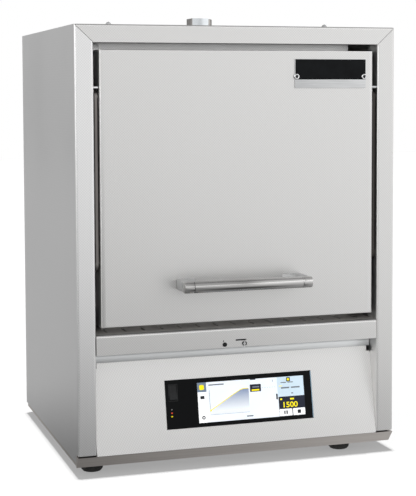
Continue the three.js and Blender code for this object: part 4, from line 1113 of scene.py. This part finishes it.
def studioRoom():
    # the camera sees a white room, and the furnace is lit by one that shades off to all sides
    scene = bpy.context.scene
    scene.view_settings.view_transform = "Standard"
    world = bpy.data.worlds.new("studioRoom")
    scene.world = world
    world.use_nodes = True
    tree = world.node_tree
    tree.nodes.clear()
    direction = addNode(tree, "ShaderNodeTexCoord").outputs["Generated"]
    parts = addNode(tree, "ShaderNodeSeparateXYZ", {0: direction})
    shade = profile(tree, parts.outputs["Z"], light["upward"])
    for axis, stops in (("Y", light["around"]), ("X", light["across"])):
        along = rescale(tree, parts.outputs[axis], seen=(-1.0, 1.0))
        shade = calculate(tree, "MULTIPLY", shade, profile(tree, along, stops))
    rays = addNode(tree, "ShaderNodeLightPath")
    strength = addNode(tree, "ShaderNodeMix", {
        0: rays.outputs["Is Camera Ray"], 2: shade, 3: 1.0}, data_type="FLOAT").outputs[0]
    background = addNode(tree, "ShaderNodeBackground", {"Color": (1, 1, 1, 1), "Strength": strength})
    out = addNode(tree, "ShaderNodeOutputWorld")
    tree.links.new(background.outputs[0], out.inputs[0])


def floorSun():
    # lights the floor alone, and the handle casts no shadow there
    bpy.ops.object.light_add(type="SUN", location=(0, 0, 3))
    sun = bpy.context.object
    sun.data.energy = light["sunPower"]
    sun.data.angle = light["sunSpread"]
    sun.rotation_euler = Vector(light["sunPath"]).to_track_quat("-Z", "Y").to_euler()
    sun.visible_glossy = False
    thinPieces = bpy.data.collections.new("tooThinForShadow")
    for name in ("handleTube", "leftHandleCap", "leftHandleNeck", "rightHandleCap", "rightHandleNeck"):
        thinPieces.objects.link(bpy.data.objects[name])
    sun.light_linking.blocker_collection = thinPieces
    for entry in thinPieces.collection_objects:
        entry.light_linking.link_state = "EXCLUDE"
    sunlit = bpy.data.collections.new("litBySun")
    sun.light_linking.receiver_collection = sunlit
    return sunlit


def paleFloor(sunlit):
    # the camera sees a pale floor with the furnace's shadow, and the metal sees what mirror says
    clearSelection()
    bpy.ops.mesh.primitive_plane_add(size=light["floorSize"])
    floor = bpy.context.object
    floor.name = "paleFloor"
    sunlit.objects.link(floor)
    material, tree, shader = startMaterial("mattePaintedFloor", Roughness=0.9)
    shader.inputs["Base Color"].default_value = colour(light["floorShade"])
    shader.inputs["Specular IOR Level"].default_value = 0.0
    shader.inputs["Emission Color"].default_value = (1, 1, 1, 1)
    shader.inputs["Emission Strength"].default_value = light["floorGlow"]

    spot = addNode(tree, "ShaderNodeTexCoord").outputs["Object"]
    away = addNode(tree, "ShaderNodeVectorMath", {0: spot, 1: mirror["way"]}, operation="DOT_PRODUCT")
    brighter = rescale(tree, away.outputs["Value"], mirror["wayFrom"], mirror["wayShades"])
    # a painted shadow under the handle, for the tube to mirror
    reach = addNode(tree, "ShaderNodeVectorMath", {
        0: spot, 1: mirror["handleShadowMiddle"]}, operation="DISTANCE")
    handleShadow = rescale(tree, reach.outputs["Value"], mirror["handleShadowReach"], (mirror["handleShadowLevel"], 1.0))
    depth = addNode(tree, "ShaderNodeSeparateXYZ", {0: spot}).outputs["Y"]
    behind = rescale(tree, depth, mirror["behindFrom"], (0.0, mirror["behindShade"]))
    level = calculate(tree, "MAXIMUM", calculate(tree, "MULTIPLY", brighter, handleShadow), behind)
    mirrored = addNode(tree, "ShaderNodeEmission", {"Color": (1, 1, 1, 1), "Strength": level}).outputs[0]
    rays = addNode(tree, "ShaderNodeLightPath")
    both = addNode(tree, "ShaderNodeMixShader", {
        0: rays.outputs["Is Camera Ray"], 1: mirrored, 2: shader.outputs[0]}).outputs[0]
    out = next(node for node in tree.nodes if node.bl_idname == "ShaderNodeOutputMaterial")
    tree.links.new(both, out.inputs[0])
    floor.data.materials.append(material)


def photoCamera():
    view = {
        "place": (-0.4990, -1.58685, 0.4300),
        "turn": math.radians(17.71),
        "dip": math.radians(3.65),
        "roll": math.radians(-0.22),
        "focusPixels": 1332.0,
        "longSide": 496,  # the photograph's height in pixels
        "shift": -0.14,
        "sensor": 36,
    }
    data = bpy.data.cameras.new("photoCamera")
    camera = bpy.data.objects.new("photoCamera", data)
    bpy.context.scene.collection.objects.link(camera)
    forward = Vector((
        math.sin(view["turn"]) * math.cos(view["dip"]),
        math.cos(view["turn"]) * math.cos(view["dip"]),
        -math.sin(view["dip"])))
    camera.location = view["place"]
    camera.rotation_euler = forward.to_track_quat("-Z", "Y").to_euler()
    camera.rotation_euler.rotate_axis("Z", view["roll"])
    data.sensor_width = view["sensor"]
    data.lens = view["focusPixels"] * view["sensor"] / view["longSide"]
    data.shift_y = view["shift"]
    bpy.context.scene.camera = camera


studioRoom()
paleFloor(floorSun())
photoCamera()
print("studio and camera done")
